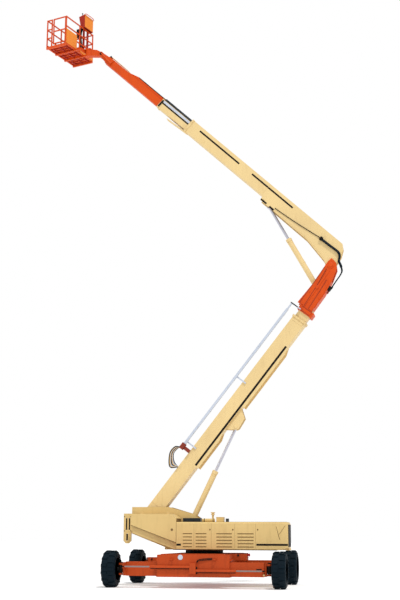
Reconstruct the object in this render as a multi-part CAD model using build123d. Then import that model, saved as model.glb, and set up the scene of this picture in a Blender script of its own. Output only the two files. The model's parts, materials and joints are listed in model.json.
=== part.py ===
"""Articulating boom lift: telescoping axles, turntable, two telescoping booms and a work platform.

Millimetres. +X points from the slewing centre to the knuckle side of the machine, +Y is the direction
in which the wheels roll, +Z is up. The origin is on the ground under the slewing centre.
"""
from math import cos, hypot, pi, radians, sin
import os

from build123d import *

# ---------------------------------------------------------------- driving dimensions
RUN_CLEARANCE = 1.0          # radial play of a pin in its bore
ROUND_SIDES = 12             # flat sides of a small round bar
WHEEL_SIDES = 28             # flat sides of a tyre or a rim, one for each tread lug

# wheels
TYRE_RADIUS = 585.0
TYRE_WIDTH = 460.0
TREAD_DEPTH = 26.0
LUG_WIDTH = 88.0
RIM_RADIUS = 300.0
WHEELBASE = 3660.0
TRACK = 5510.0
KINGPIN_INSET = 335.0        # kingpin to the middle of the tyre
KINGPIN_RADIUS = 42.0
SPINDLE_RADIUS = 45.0

# chassis
FRAME_HALF_LENGTH = 1180.0   # along X
FRAME_TOP = 1070.0
FRAME_BOTTOM = 350.0
DECK_PLATE = 25.0
SPINE_WALL = 20.0
AXLE_BOX_HALF = 255.0        # along Y, about the axle line
BEAM_DEPTH = 450.0
BEAM_BOTTOM = 370.0
BEAM_WIDTH = 195.0
BEAM_WALL = 16.0
AXLE_WEB = 12.0
AXLE_PLAY = 6.0
BEAM_INNER_END = 100.0       # how far a beam reaches past the middle of the machine
TIE_SPACING = 1400.0
TIE_HEIGHT = 905.0
TIE_PLATE = 30.0
TIE_REACH = 60.0
TIE_NOSE = 62.0
TIE_EYE_RADIUS = 32.0
SLEW_RADIUS = 635.0
SLEW_HEIGHT = 118.0
EXTENSION_BARREL_RADIUS = 44.0
EXTENSION_ROD_RADIUS = 24.0

# turntable
TURRET_HALF_WIDTH = 1220.0
TURRET_FLOOR = 1190.0
TURRET_PLATE = 60.0
TURRET_SHEET = 20.0
HOOD_TOP = 2090.0
HOOD_BOTTOM = 1216.0
HOOD_START = -730.0
HOOD_END = 2970.0
FAR_HOOD_END = 2780.0
HOOD_SHELL = 25.0
PIVOT_PLATE_GAP = 300.0      # inner faces of the pivot plates, from the middle
PIVOT_PLATE = 32.0
TURRET_REAR = -2460.0
PIVOT_PLATE_TOP = 2600.0
HINGE_Y = 372.0              # axis of a hood's hinge bar, from the middle
HINGE_RADIUS = 12.0

# lower boom
LOWER_ANGLE = 52.0
LOWER_PIVOT = (-1936.0, 2200.0)
LOWER_BASE_END = 8640.0
LOWER_BASE_LOW = -246.0
LOWER_BASE_HIGH = 260.0
LOWER_BASE_HALF = 235.0
LOWER_WALL = 12.0
LOWER_INNER_LOW = -208.0
LOWER_INNER_HIGH = 222.0
LOWER_INNER_HALF = 190.0
LOWER_INNER_START = 1550.0
KNUCKLE_START = 8880.0
UPPER_PIVOT_ALONG = 10810.0
UPPER_PIVOT_RISE = 295.0
PIVOT_PIN_RADIUS = 55.0

# upper boom
UPPER_ANGLE = 137.0
HEEL_LENGTH = 3530.0
UPPER_BASE_END = 7530.0
UPPER_BASE_LOW = 338.0
UPPER_BASE_HIGH = 838.0
UPPER_BASE_HALF = 180.0
UPPER_WALL = 9.0
UPPER_MID_START = 4900.0
UPPER_MID_END = 8980.0
UPPER_MID_LOW = 368.0
UPPER_MID_HIGH = 728.0
UPPER_MID_HALF = 150.0
FLY_START = 7740.0
FLY_END = 11820.0
FLY_LOW = 386.0
FLY_HIGH = 672.0
FLY_HALF = 120.0
TROUGH_HALF = 66.0           # hose trough on the fly
TROUGH_HIGH = 798.0
TROUGH_END = 10760.0
TROUGH_GAP = 8.0             # play between the trough and the channel it slides in
TIP_PIN_ALONG = 12170.0
TIP_PIN_RISE = 541.0

# lift cylinders: (base, eye) in the machine's XZ plane
LOWER_CYLINDER_BASE = (-760.0, 1450.0)
LOWER_CYLINDER_LUG = (4336.0, -480.0)      # on the lower boom: along, rise
LOWER_BARREL_RADIUS = 95.0
LOWER_BARREL_LENGTH = 2630.0
LOWER_ROD_RADIUS = 48.0
LOWER_ROD_LENGTH = 2600.0
UPPER_CYLINDER_BASE = (9896.0, 198.0)      # on the knuckle: along, rise
UPPER_CYLINDER_LUG = (3150.0, 205.0)       # on the heel: along, rise
UPPER_BARREL_RADIUS = 98.0
UPPER_BARREL_LENGTH = 2090.0
UPPER_ROD_RADIUS = 50.0
UPPER_ROD_LENGTH = 2010.0

# platform
PLATFORM_LENGTH = 1830.0
PLATFORM_WIDTH = 910.0
RAIL_HEIGHT = 1100.0
RAIL_TUBE = 38.0
PLATFORM_FLOOR = 19880.0
FLOOR_THICKNESS = 45.0
FLOOR_SHEET = 6.0
ROTATOR_REACH = 505.0        # level pin to the rotator's axis
PLATFORM_STANDOFF = 450.0    # rotator's axis to the platform's near side
PLATFORM_SWING = -17.7
GATE_WIDTH = 620.0


# ---------------------------------------------------------------- shared helpers
def block(x0, x1, y0, y1, z0, z1):
    """A box given by its faces."""
    return Pos((x0 + x1) / 2, (y0 + y1) / 2, (z0 + z1) / 2) * Box(abs(x1 - x0), abs(y1 - y0), abs(z1 - z0))


def plate(outline, y0, y1):
    """A flat plate: an outline of (x, z) corners, thickened from y0 to y1."""
    wire = Polyline(*[(x, y0, z) for x, z in outline], close=True)
    return extrude(make_face(wire), amount=y1 - y0, dir=(0, 1, 0))


def cross_pin(x, z, radius, y0, y1):
    """A round pin along Y."""
    return Pos(x, (y0 + y1) / 2, z) * Rot(90, 0, 0) * Cylinder(radius, abs(y1 - y0))


def shaft(x0, x1, y, z, radius):
    """A round bar along X."""
    return Pos((x0 + x1) / 2, y, z) * Rot(0, 90, 0) * Cylinder(radius, abs(x1 - x0))


def box_tube(x0, x1, half, low, high, wall):
    """A rectangular tube along X, open at both ends."""
    outer = block(x0, x1, -half, half, low, high)
    return outer - block(x0 - 1, x1 + 1, -half + wall, half - wall, low + wall, high - wall)


def flat_sided(radius, sides):
    """Regular polygon whose corners lie on the radius."""
    return RegularPolygon(radius, sides, rotation=180 / sides)


def bar_x(x0, x1, y, z, radius, sides=ROUND_SIDES):
    """A round bar along X with flat sides."""
    face = Plane(origin=((x0 + x1) / 2, y, z), x_dir=(0, 1, 0), z_dir=(1, 0, 0)) * flat_sided(radius, sides)
    return extrude(face, amount=abs(x1 - x0) / 2, both=True)


def bar_y(x, z, radius, y0, y1, sides=ROUND_SIDES):
    """A round bar along Y with flat sides."""
    face = Plane(origin=(x, (y0 + y1) / 2, z), x_dir=(1, 0, 0), z_dir=(0, 1, 0)) * flat_sided(radius, sides)
    return extrude(face, amount=abs(y1 - y0) / 2, both=True)


def bar_z(x, y, radius, z0, z1, sides=ROUND_SIDES):
    """A round bar along Z with flat sides."""
    return extrude(Pos(x, y, (z0 + z1) / 2) * flat_sided(radius, sides), amount=abs(z1 - z0) / 2, both=True)


def bore_radius(pin_radius, sides=ROUND_SIDES):
    """Corner radius of a flat-sided bore that runs free on a round pin."""
    return (pin_radius + RUN_CLEARANCE) / cos(pi / sides)


def turned(rows, sides=WHEEL_SIDES):
    """A flat-sided turned ring round the X axis, from a closed outline of (x, radius) rows."""
    turns = [2 * pi * (step + 0.5) / sides for step in range(sides)]
    rings = [[(x, radius * cos(turn), radius * sin(turn)) for turn in turns] for x, radius in rows]
    faces = []
    for near, far in zip(rings, rings[1:] + rings[:1]):
        for step in range(sides):
            after = (step + 1) % sides
            faces.append(Face(Wire.make_polygon([near[step], near[after], far[after], far[step]])))
    return Solid(Shell(faces))


def mirrored(piece):
    """The piece and its mirror image across the XZ plane."""
    return piece + mirror(piece, about=Plane.XZ)


def save(name, piece):
    """Write one sub-part."""
    export_step(piece, "parts/" + name + ".step")


lower_frame = Plane(
    origin=(LOWER_PIVOT[0], 0, LOWER_PIVOT[1]),
    x_dir=(cos(radians(LOWER_ANGLE)), 0, sin(radians(LOWER_ANGLE))),
    z_dir=(-sin(radians(LOWER_ANGLE)), 0, cos(radians(LOWER_ANGLE))),
).location


def on_lower(along, rise):
    """A point of the lower boom, as (x, z) of the machine."""
    turn = radians(LOWER_ANGLE)
    x = LOWER_PIVOT[0] + along * cos(turn) - rise * sin(turn)
    z = LOWER_PIVOT[1] + along * sin(turn) + rise * cos(turn)
    return x, z


UPPER_PIVOT = on_lower(UPPER_PIVOT_ALONG, UPPER_PIVOT_RISE)
upper_frame = Plane(
    origin=(UPPER_PIVOT[0], 0, UPPER_PIVOT[1]),
    x_dir=(cos(radians(UPPER_ANGLE)), 0, sin(radians(UPPER_ANGLE))),
    z_dir=(sin(radians(UPPER_ANGLE)), 0, -cos(radians(UPPER_ANGLE))),
).location


def on_upper(along, rise):
    """A point of the upper boom, as (x, z) of the machine."""
    turn = radians(UPPER_ANGLE)
    x = UPPER_PIVOT[0] + along * cos(turn) + rise * sin(turn)
    z = UPPER_PIVOT[1] + along * sin(turn) - rise * cos(turn)
    return x, z


# ---------------------------------------------------------------- chassis
AXLE_LINES = [("front", 1), ("rear", -1)]                     # name, side along Y
CORNERS = [                                                    # name, side along X, side along Y
    ("rear_left", -1, -1),
    ("rear_right", 1, -1),
    ("front_left", -1, 1),
    ("front_right", 1, 1),
]
AXLE_HALF_BASE = WHEELBASE / 2
KINGPIN_X = TRACK / 2 - KINGPIN_INSET


def beam_lane(side_x, side_y):
    """Middle of a beam across the machine: the left and right beams pass side by side."""
    return side_y * AXLE_HALF_BASE + side_x * side_y * (BEAM_WIDTH / 2 + AXLE_PLAY + AXLE_WEB / 2)


def tie_lug(x, side_y):
    """Tie-down lug: a flat plate that stands out of the axle box, with an upright eye and a rounded nose."""
    wall = AXLE_HALF_BASE + AXLE_BOX_HALF
    low, high = TIE_HEIGHT - TIE_PLATE / 2, TIE_HEIGHT + TIE_PLATE / 2
    lug = block(x - TIE_NOSE, x + TIE_NOSE, wall - 1, wall + TIE_REACH, low, high)
    lug += bar_z(x, wall + TIE_REACH, TIE_NOSE, low, high)
    lug -= Pos(x, wall + TIE_REACH, TIE_HEIGHT) * Cylinder(TIE_EYE_RADIUS, 2 * TIE_PLATE)
    return mirror(lug, about=Plane.XZ) if side_y < 0 else lug


def chassis_frame():
    """Centre frame, and the two open-ended boxes that the axle beams slide in."""
    half_x = FRAME_HALF_LENGTH - 120
    half_y = AXLE_HALF_BASE + AXLE_BOX_HALF - 20
    spine_x = FRAME_HALF_LENGTH - 310
    spine_y = AXLE_HALF_BASE - AXLE_BOX_HALF
    frame = block(-half_x, half_x, -half_y, half_y, FRAME_TOP - DECK_PLATE, FRAME_TOP)
    frame += block(-spine_x, spine_x, -spine_y, spine_y, FRAME_BOTTOM + 110, FRAME_TOP - DECK_PLATE)
    frame -= block(-spine_x + SPINE_WALL, spine_x - SPINE_WALL, -spine_y, spine_y,
                   FRAME_BOTTOM + 110 + SPINE_WALL, FRAME_TOP - DECK_PLATE)
    for _, side in AXLE_LINES:
        middle = side * AXLE_HALF_BASE
        sleeve = block(-FRAME_HALF_LENGTH, FRAME_HALF_LENGTH, middle - AXLE_BOX_HALF, middle + AXLE_BOX_HALF,
                       FRAME_BOTTOM, FRAME_TOP - DECK_PLATE)
        frame += sleeve
        for side_x in (-1, 1):
            lane = beam_lane(side_x, side)
            frame -= block(-FRAME_HALF_LENGTH - 1, FRAME_HALF_LENGTH + 1,
                           lane - BEAM_WIDTH / 2 - AXLE_PLAY, lane + BEAM_WIDTH / 2 + AXLE_PLAY,
                           BEAM_BOTTOM - AXLE_PLAY, BEAM_BOTTOM + BEAM_DEPTH + AXLE_PLAY)
        for x in (-TIE_SPACING / 2, TIE_SPACING / 2):
            frame += tie_lug(x, side)
    return frame


def axle_beam(side_x, side_y):
    """Sliding axle beam: a box beam with the kingpin head outside and the extension rod on its face."""
    lane = beam_lane(side_x, side_y)
    middle = side_y * AXLE_HALF_BASE
    outer = side_x * (KINGPIN_X - 150)
    inner = -side_x * BEAM_INNER_END
    beam = block(inner, outer, lane - BEAM_WIDTH / 2, lane + BEAM_WIDTH / 2, BEAM_BOTTOM, BEAM_BOTTOM + BEAM_DEPTH)
    beam -= block(inner - side_x, outer - side_x * 200, lane - BEAM_WIDTH / 2 + BEAM_WALL,
                  lane + BEAM_WIDTH / 2 - BEAM_WALL, BEAM_BOTTOM + BEAM_WALL, BEAM_BOTTOM + BEAM_DEPTH - BEAM_WALL)
    head = block(side_x * (KINGPIN_X - 165), side_x * (KINGPIN_X - 85), middle - 120, middle + 120,
                 BEAM_BOTTOM + 10, BEAM_BOTTOM + BEAM_DEPTH - 20)
    beam += head
    for low in (HUB_HEIGHT - 190, HUB_HEIGHT + 130):
        ear = block(side_x * (KINGPIN_X - 90), side_x * KINGPIN_X, middle - 85, middle + 85, low, low + 60)
        ear += bar_z(side_x * KINGPIN_X, middle, 88, low, low + 60)
        beam += ear
    beam += Pos(side_x * KINGPIN_X, middle, HUB_HEIGHT) * Cylinder(KINGPIN_RADIUS, 2 * 131)
    face = middle + side_y * (AXLE_BOX_HALF + EXTENSION_OFFSET)
    bracket_x = side_x * (KINGPIN_X - 150)
    beam += block(bracket_x - 30, bracket_x + 30, lane, face + side_y * 45,
                  EXTENSION_HEIGHT[side_x * side_y] - 55, EXTENSION_HEIGHT[side_x * side_y] + 55)
    rod_inner = bracket_x - side_x * EXTENSION_ROD_LENGTH
    beam += bar_x(rod_inner, bracket_x, face, EXTENSION_HEIGHT[side_x * side_y], EXTENSION_ROD_RADIUS)
    return beam


HUB_HEIGHT = TYRE_RADIUS
EXTENSION_OFFSET = 62.0
EXTENSION_HEIGHT = {1: 670.0, -1: 555.0}       # by the product of the two sides
EXTENSION_ROD_LENGTH = 1400.0
EXTENSION_BARREL_END = 1400.0


def extension_barrels():
    """Four hydraulic barrels that push the beams out, held by one block in the middle of each axle box."""
    barrels = []
    for _, side_y in AXLE_LINES:
        face = side_y * (AXLE_HALF_BASE + AXLE_BOX_HALF + EXTENSION_OFFSET)
        wall = side_y * (AXLE_HALF_BASE + AXLE_BOX_HALF)
        group = block(-100, 100, wall, face + side_y * 50, 460, 790)
        for side_x in (-1, 1):
            height = EXTENSION_HEIGHT[side_x * side_y]
            group += bar_x(0, side_x * EXTENSION_BARREL_END, face, height, EXTENSION_BARREL_RADIUS)
        for side_x in (-1, 1):
            height = EXTENSION_HEIGHT[side_x * side_y]
            group -= bar_x(side_x * 40, side_x * (EXTENSION_BARREL_END + 1), face, height,
                           EXTENSION_ROD_RADIUS + 2 * RUN_CLEARANCE)
        barrels.append(group)
    return Compound(children=barrels)


def slew_ring():
    """Slewing bearing between the chassis and the turntable."""
    ring = Pos(0, 0, FRAME_TOP + SLEW_HEIGHT / 2) * Cylinder(SLEW_RADIUS, SLEW_HEIGHT)
    return ring - bar_z(0, 0, SLEW_RADIUS - 150, FRAME_TOP - 1, FRAME_TOP + SLEW_HEIGHT + 1, 24)


def chassis_boxes():
    """Tool boxes bolted to the frame between the axles, each on its bracket, and the valve box on the near side."""
    spine = FRAME_HALF_LENGTH - 310
    tools = block(-FRAME_HALF_LENGTH - 570, -FRAME_HALF_LENGTH - 200, 720, 1070, 700, 945)
    tools += block(-FRAME_HALF_LENGTH - 201, -spine, 840, 960, 760, 860)
    valves = block(FRAME_HALF_LENGTH - 120, FRAME_HALF_LENGTH + 435, -1220, -850, 870, FRAME_TOP + 30)
    valves += block(spine, FRAME_HALF_LENGTH - 119, -1090, -970, 890, 960)
    return mirrored(tools) + valves


# ---------------------------------------------------------------- wheels and steering knuckles
def wheel_middle(side_x, side_y):
    return side_x * TRACK / 2, side_y * AXLE_HALF_BASE


def steering_knuckle(side_x, side_y):
    """Knuckle that turns on the kingpin and carries the wheel's spindle and the steering arm."""
    x, y = wheel_middle(side_x, side_y)
    king = side_x * KINGPIN_X
    hub = bar_z(king, y, 84, HUB_HEIGHT - 120, HUB_HEIGHT + 120)
    hub += bar_x(king, x - side_x * 60, y, HUB_HEIGHT, 70)
    hub += bar_x(x - side_x * 120, x - side_x * 80, y, HUB_HEIGHT, 130, 16)
    hub += block(king, king + side_x * 60, y, y - side_y * 250, HUB_HEIGHT - 30, HUB_HEIGHT + 30)
    hub -= bar_z(king, y, bore_radius(KINGPIN_RADIUS), HUB_HEIGHT - 130, HUB_HEIGHT + 130)
    hub += shaft(x - side_x * 70, x + side_x * 70, y, HUB_HEIGHT, SPINDLE_RADIUS)
    return hub


def tyre():
    """Tyre with rounded shoulders and a tread of staggered lugs, its axis along X."""
    half = TYRE_WIDTH / 2
    carcass = TYRE_RADIUS - TREAD_DEPTH
    body = turned([
        (-half + 40, RIM_RADIUS), (-half + 8, RIM_RADIUS + 70), (-half, TYRE_RADIUS - 140), (-half + 22, TYRE_RADIUS - 66),
        (-half + 80, carcass), (half - 80, carcass), (half - 22, TYRE_RADIUS - 66), (half, TYRE_RADIUS - 140),
        (half - 8, RIM_RADIUS + 70), (half - 40, RIM_RADIUS),
    ])
    lug = plate([(16, carcass - 4), (16, TYRE_RADIUS), (half - 78, TYRE_RADIUS), (half - 12, TYRE_RADIUS - 56),
                 (half - 34, TYRE_RADIUS - 62)], -LUG_WIDTH / 2, LUG_WIDTH / 2)
    pitch = 360 / WHEEL_SIDES
    for flat in range(WHEEL_SIDES):
        body += Rot((flat + 0.5) * pitch + pitch / 2, 0, 0) * (lug if flat % 2 else mirror(lug, about=Plane.YZ))
    return body


def rim():
    """Dished steel rim with a raised hub, open on both sides."""
    half = TYRE_WIDTH / 2 - 42
    return turned([
        (-half, RIM_RADIUS), (half, RIM_RADIUS), (half, RIM_RADIUS - 22), (48, RIM_RADIUS - 66), (48, 95), (120, 95),
        (120, bore_radius(SPINDLE_RADIUS, WHEEL_SIDES)), (0, bore_radius(SPINDLE_RADIUS, WHEEL_SIDES)),
        (10, RIM_RADIUS - 60), (-half, RIM_RADIUS - 22),
    ])


# ---------------------------------------------------------------- turntable
def turret_frame():
    """Turntable weldment: floor plate, two pivot plates, their webs and the boom and cylinder pins."""
    spine = PIVOT_PLATE_GAP + PIVOT_PLATE + 28
    floor = block(-1300, HOOD_END - 60, -spine, spine, TURRET_FLOOR, TURRET_FLOOR + TURRET_PLATE)
    floor += block(-840, 2600, -TURRET_HALF_WIDTH + 60, TURRET_HALF_WIDTH - 60, TURRET_FLOOR,
                   TURRET_FLOOR + TURRET_SHEET)
    outline = [
        (TURRET_REAR, 1720), (TURRET_REAR, PIVOT_PLATE_TOP), (-1170, PIVOT_PLATE_TOP), (-340, 2360),
        (120, 2040), (1400, 1560), (HOOD_END - 80, 1480), (HOOD_END - 80, TURRET_FLOOR + TURRET_PLATE),
        (-1250, TURRET_FLOOR + TURRET_PLATE),
    ]
    inner = PIVOT_PLATE_GAP
    side = plate(outline, inner, inner + PIVOT_PLATE)
    floor += mirrored(side)
    floor += cross_pin(*LOWER_PIVOT, PIVOT_PIN_RADIUS, -inner, inner)
    floor += cross_pin(*LOWER_CYLINDER_BASE, 45, -inner, inner)
    collar = bar_y(*LOWER_PIVOT, 150, inner + PIVOT_PLATE, inner + PIVOT_PLATE + 25, 16)
    floor += mirrored(collar)
    for side_y, end in ((-1, HOOD_END), (1, FAR_HOOD_END)):
        hinge = shaft(HOOD_START + 30, end - 60, HINGE_Y, HOOD_TOP, HINGE_RADIUS)
        for x in (HOOD_START + 60, (HOOD_START + end) / 2, end - 100):
            hinge += block(x - 20, x + 20, inner + PIVOT_PLATE - 1, HINGE_Y, TURRET_FLOOR + TURRET_PLATE - 1,
                           HOOD_TOP + 8)
        floor += mirror(hinge, about=Plane.XZ) if side_y < 0 else hinge
    floor += block(HOOD_END - 110, HOOD_END - 80, -inner, inner, TURRET_FLOOR + TURRET_PLATE, 1480)
    floor += block(-1300, -1250, -inner, inner, TURRET_FLOOR + TURRET_PLATE, 1560)
    return floor


def counterweight():
    """Cast counterweight: two hollow cheeks outside the pivot plates, with a stepped lower edge."""
    inner = PIVOT_PLATE_GAP + PIVOT_PLATE + 30
    front = HOOD_START - 12
    low = TURRET_FLOOR + TURRET_SHEET
    body = plate([(-2230, 1730), (-2280, 1990), (-2280, 2350), (-920, 2350), (front, 2220), (front, low), (-800, low)],
                 inner, TURRET_HALF_WIDTH - 70)
    face = plate([(-2280, 1990), (-2280, 2350), (-920, 2350), (front, 2220), (front, 1430)],
                 TURRET_HALF_WIDTH - 71, TURRET_HALF_WIDTH)
    pocket = plate([(-2200, 1800), (-2220, 1995), (-2220, 2290), (-940, 2290), (front - 60, 2180), (front - 60, low + 60),
                    (-850, low + 60)], inner - 1, TURRET_HALF_WIDTH - 250)
    return mirrored(body + face - pocket)


def end_brackets():
    """Slotted tie plate that stands out of the tail."""
    tail = -2280
    outline = [(-2715, 1480), (-2715, 2378), (tail, 2378), (tail, 1800), (-2440, 1800), (-2440, 1480), (-2520, 1385),
               (-2640, 1385)]
    tie = plate(outline, -455, -420)
    slots = [(-2640, -2590, 1830, 2230), (-2540, -2490, 1830, 2230), (-2620, -2560, 1480, 1710)]   # x0, x1, z0, z1
    for x0, x1, z0, z1 in slots:
        tie -= block(x0, x1, -456, -419, z0, z1)
    return tie


LOUVRE_ROWS = 5
LOUVRE_TOP = 1728.0
LOUVRE_PITCH = 105.0
LOUVRE_GROUPS = [(-510, -200), (-80, 280), (610, 1130), (1310, 1840)]     # start and end along X


def hood(side_y):
    """Engine hood: a shell that is open below, hinged on its inner top edge, with rows of louvre slots."""
    inner = HINGE_Y + HINGE_RADIUS + 6
    outer = TURRET_HALF_WIDTH
    end = HOOD_END if side_y < 0 else FAR_HOOD_END
    shell = plate([(HOOD_START, HOOD_BOTTOM), (HOOD_START, HOOD_TOP), (end - 30, HOOD_TOP), (end, HOOD_TOP - 70),
                   (end, HOOD_BOTTOM + 70), (end - 230, HOOD_BOTTOM)], inner, outer)
    shell -= Pos(0, outer, HOOD_TOP) * Rot(45, 0, 0) * block(HOOD_START - 1, end + 1, -30, 30, -30, 30)
    shell -= plate([(HOOD_START + HOOD_SHELL, HOOD_BOTTOM - 1), (HOOD_START + HOOD_SHELL, HOOD_TOP - HOOD_SHELL),
                    (end - 45, HOOD_TOP - HOOD_SHELL), (end - HOOD_SHELL, HOOD_TOP - 80),
                    (end - HOOD_SHELL, HOOD_BOTTOM + 90), (end - 235, HOOD_BOTTOM + HOOD_SHELL),
                    (end - 235, HOOD_BOTTOM - 1)], inner - 1, outer - HOOD_SHELL)
    for x0, x1 in LOUVRE_GROUPS:
        for row in range(LOUVRE_ROWS):
            z = LOUVRE_TOP - row * LOUVRE_PITCH
            shell -= block(x0, x1, outer - 14, outer + 1, z - 34, z)
    return mirror(shell, about=Plane.XZ) if side_y < 0 else shell


def hood_fittings():
    """Intake grille, air cleaner, rain cap, lamp case and beacon on top of the near hood."""
    y0, y1 = -760, -480
    middle = (y0 + y1) / 2
    top = HOOD_TOP
    grille = block(-600, -10, y0, y1, top, top + 140)
    for row in range(3):
        grille -= block(-585, -25, y0 - 1, y0 + 20, top + 20 + 40 * row, top + 40 + 40 * row)
    cleaner = bar_x(50, 460, middle, top + 62, 60)
    cleaner += block(200, 300, middle - 40, middle + 40, top, top + 60)
    cleaner += bar_z(395, middle, 34, top, top + 240)
    cleaner += bar_z(395, middle, 66, top + 240, top + 265, 8)
    case = block(530, 770, y0, y1, top, top + 165)
    beacon = bar_z(885, middle, 55, top, top + 120)
    return Compound(children=[grille, cleaner, case, beacon])


def engine_block():
    """Engine, as one block of its real size and place."""
    return block(250, 1650, 520, 1120, TURRET_FLOOR + TURRET_SHEET, HOOD_TOP - 130)


def tank_block():
    """Hydraulic and fuel tanks, as one block of their real size and place."""
    return block(150, 1750, -1120, -520, TURRET_FLOOR + TURRET_SHEET, HOOD_TOP - 210)


# ---------------------------------------------------------------- lower boom
SKIRTS = [(0.278 * LOWER_BASE_END, 0.451 * LOWER_BASE_END), (0.58 * LOWER_BASE_END, 0.88 * LOWER_BASE_END)]
LOWER_LUG_HALF = 125.0
LOWER_LUG_PLATE = 35.0


def lower_base():
    """Lower boom base section: box tube, pivot ears, end collar and the lift cylinder's lugs."""
    tube = box_tube(160, LOWER_BASE_END, LOWER_BASE_HALF, LOWER_BASE_LOW, LOWER_BASE_HIGH, LOWER_WALL)
    tube += block(160, 190, -LOWER_BASE_HALF + 1, LOWER_BASE_HALF - 1, LOWER_BASE_LOW + 1, LOWER_BASE_HIGH - 1)
    ear = plate([(0, -150), (420, LOWER_BASE_LOW), (420, LOWER_BASE_HIGH), (0, 150)],
                LOWER_BASE_HALF - 45, LOWER_BASE_HALF)
    ear += bar_y(0, 0, 155, LOWER_BASE_HALF - 45, LOWER_BASE_HALF, 16)
    tube += mirrored(ear)
    tube -= bar_y(0, 0, bore_radius(PIVOT_PIN_RADIUS), -LOWER_BASE_HALF - 1, LOWER_BASE_HALF + 1)
    collar = box_tube(LOWER_BASE_END - 70, LOWER_BASE_END + 10, LOWER_BASE_HALF + 22, LOWER_BASE_LOW - 22,
                      LOWER_BASE_HIGH + 22, 22)
    tube += collar
    for start, end in SKIRTS:
        skirt = plate([(start, LOWER_BASE_LOW), (start, LOWER_BASE_LOW - 90), (end - 260, LOWER_BASE_LOW - 90),
                       (end, LOWER_BASE_LOW)], LOWER_BASE_HALF - 30, LOWER_BASE_HALF)
        tube += mirrored(skirt)
    along, rise = LOWER_CYLINDER_LUG
    lug = plate([(along - 300, LOWER_BASE_LOW), (along - 75, rise - 85), (along, rise - 120), (along + 100, rise - 110),
                 (along + 400, rise - 75), (along + 615, LOWER_BASE_LOW)],
                LOWER_LUG_HALF, LOWER_LUG_HALF + LOWER_LUG_PLATE)
    lug += cross_pin(along, rise, 42, 73, LOWER_LUG_HALF)
    tube += mirrored(lug)
    return lower_frame * tube


HOSE_GUIDE_Y = -305.0
HOSE_GUIDE_RISE = 550.0
HOSE_GUIDE_HALF = 40.0
HOSE_GUIDE_START = 2780.0
HOSE_GUIDE_END = LOWER_BASE_END + 20
HOSE_ROD_HALF = 26.0


def hose_guide():
    """Hose guide tube beside the top of the lower boom, on stand-off brackets."""
    low = HOSE_GUIDE_RISE - HOSE_GUIDE_HALF
    guide = block(HOSE_GUIDE_START, HOSE_GUIDE_END, HOSE_GUIDE_Y - HOSE_GUIDE_HALF, HOSE_GUIDE_Y + HOSE_GUIDE_HALF,
                  low, HOSE_GUIDE_RISE + HOSE_GUIDE_HALF)
    guide -= block(HOSE_GUIDE_START - 1, HOSE_GUIDE_END + 1, HOSE_GUIDE_Y - HOSE_GUIDE_HALF + 5,
                   HOSE_GUIDE_Y + HOSE_GUIDE_HALF - 5, low + 5, HOSE_GUIDE_RISE + HOSE_GUIDE_HALF - 5)
    for along in (HOSE_GUIDE_START + 120, (HOSE_GUIDE_START + HOSE_GUIDE_END) / 2):
        guide += block(along - 25, along + 25, -LOWER_BASE_HALF - 40, -LOWER_BASE_HALF, LOWER_BASE_HIGH - 120, low + 4)
    return lower_frame * guide


def hose_rod():
    """Inner hose tube, fixed to the knuckle by an arm, which slides in the guide."""
    rod = block(HOSE_GUIDE_START + 60, KNUCKLE_START + 60, HOSE_GUIDE_Y - HOSE_ROD_HALF, HOSE_GUIDE_Y + HOSE_ROD_HALF,
                HOSE_GUIDE_RISE - HOSE_ROD_HALF, HOSE_GUIDE_RISE + HOSE_ROD_HALF)
    rod += block(KNUCKLE_START + 20, KNUCKLE_START + 60, HOSE_GUIDE_Y - 10, -KNUCKLE_HALF - 10, 180,
                 HOSE_GUIDE_RISE + HOSE_ROD_HALF)
    return lower_frame * rod


KNUCKLE_PLATE = 34.0
KNUCKLE_HALF = LOWER_INNER_HALF + KNUCKLE_PLATE


def lower_inner():
    """Inner section of the lower boom."""
    return lower_frame * box_tube(LOWER_INNER_START, KNUCKLE_START + 250, LOWER_INNER_HALF, LOWER_INNER_LOW,
                                  LOWER_INNER_HIGH, LOWER_WALL)


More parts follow.
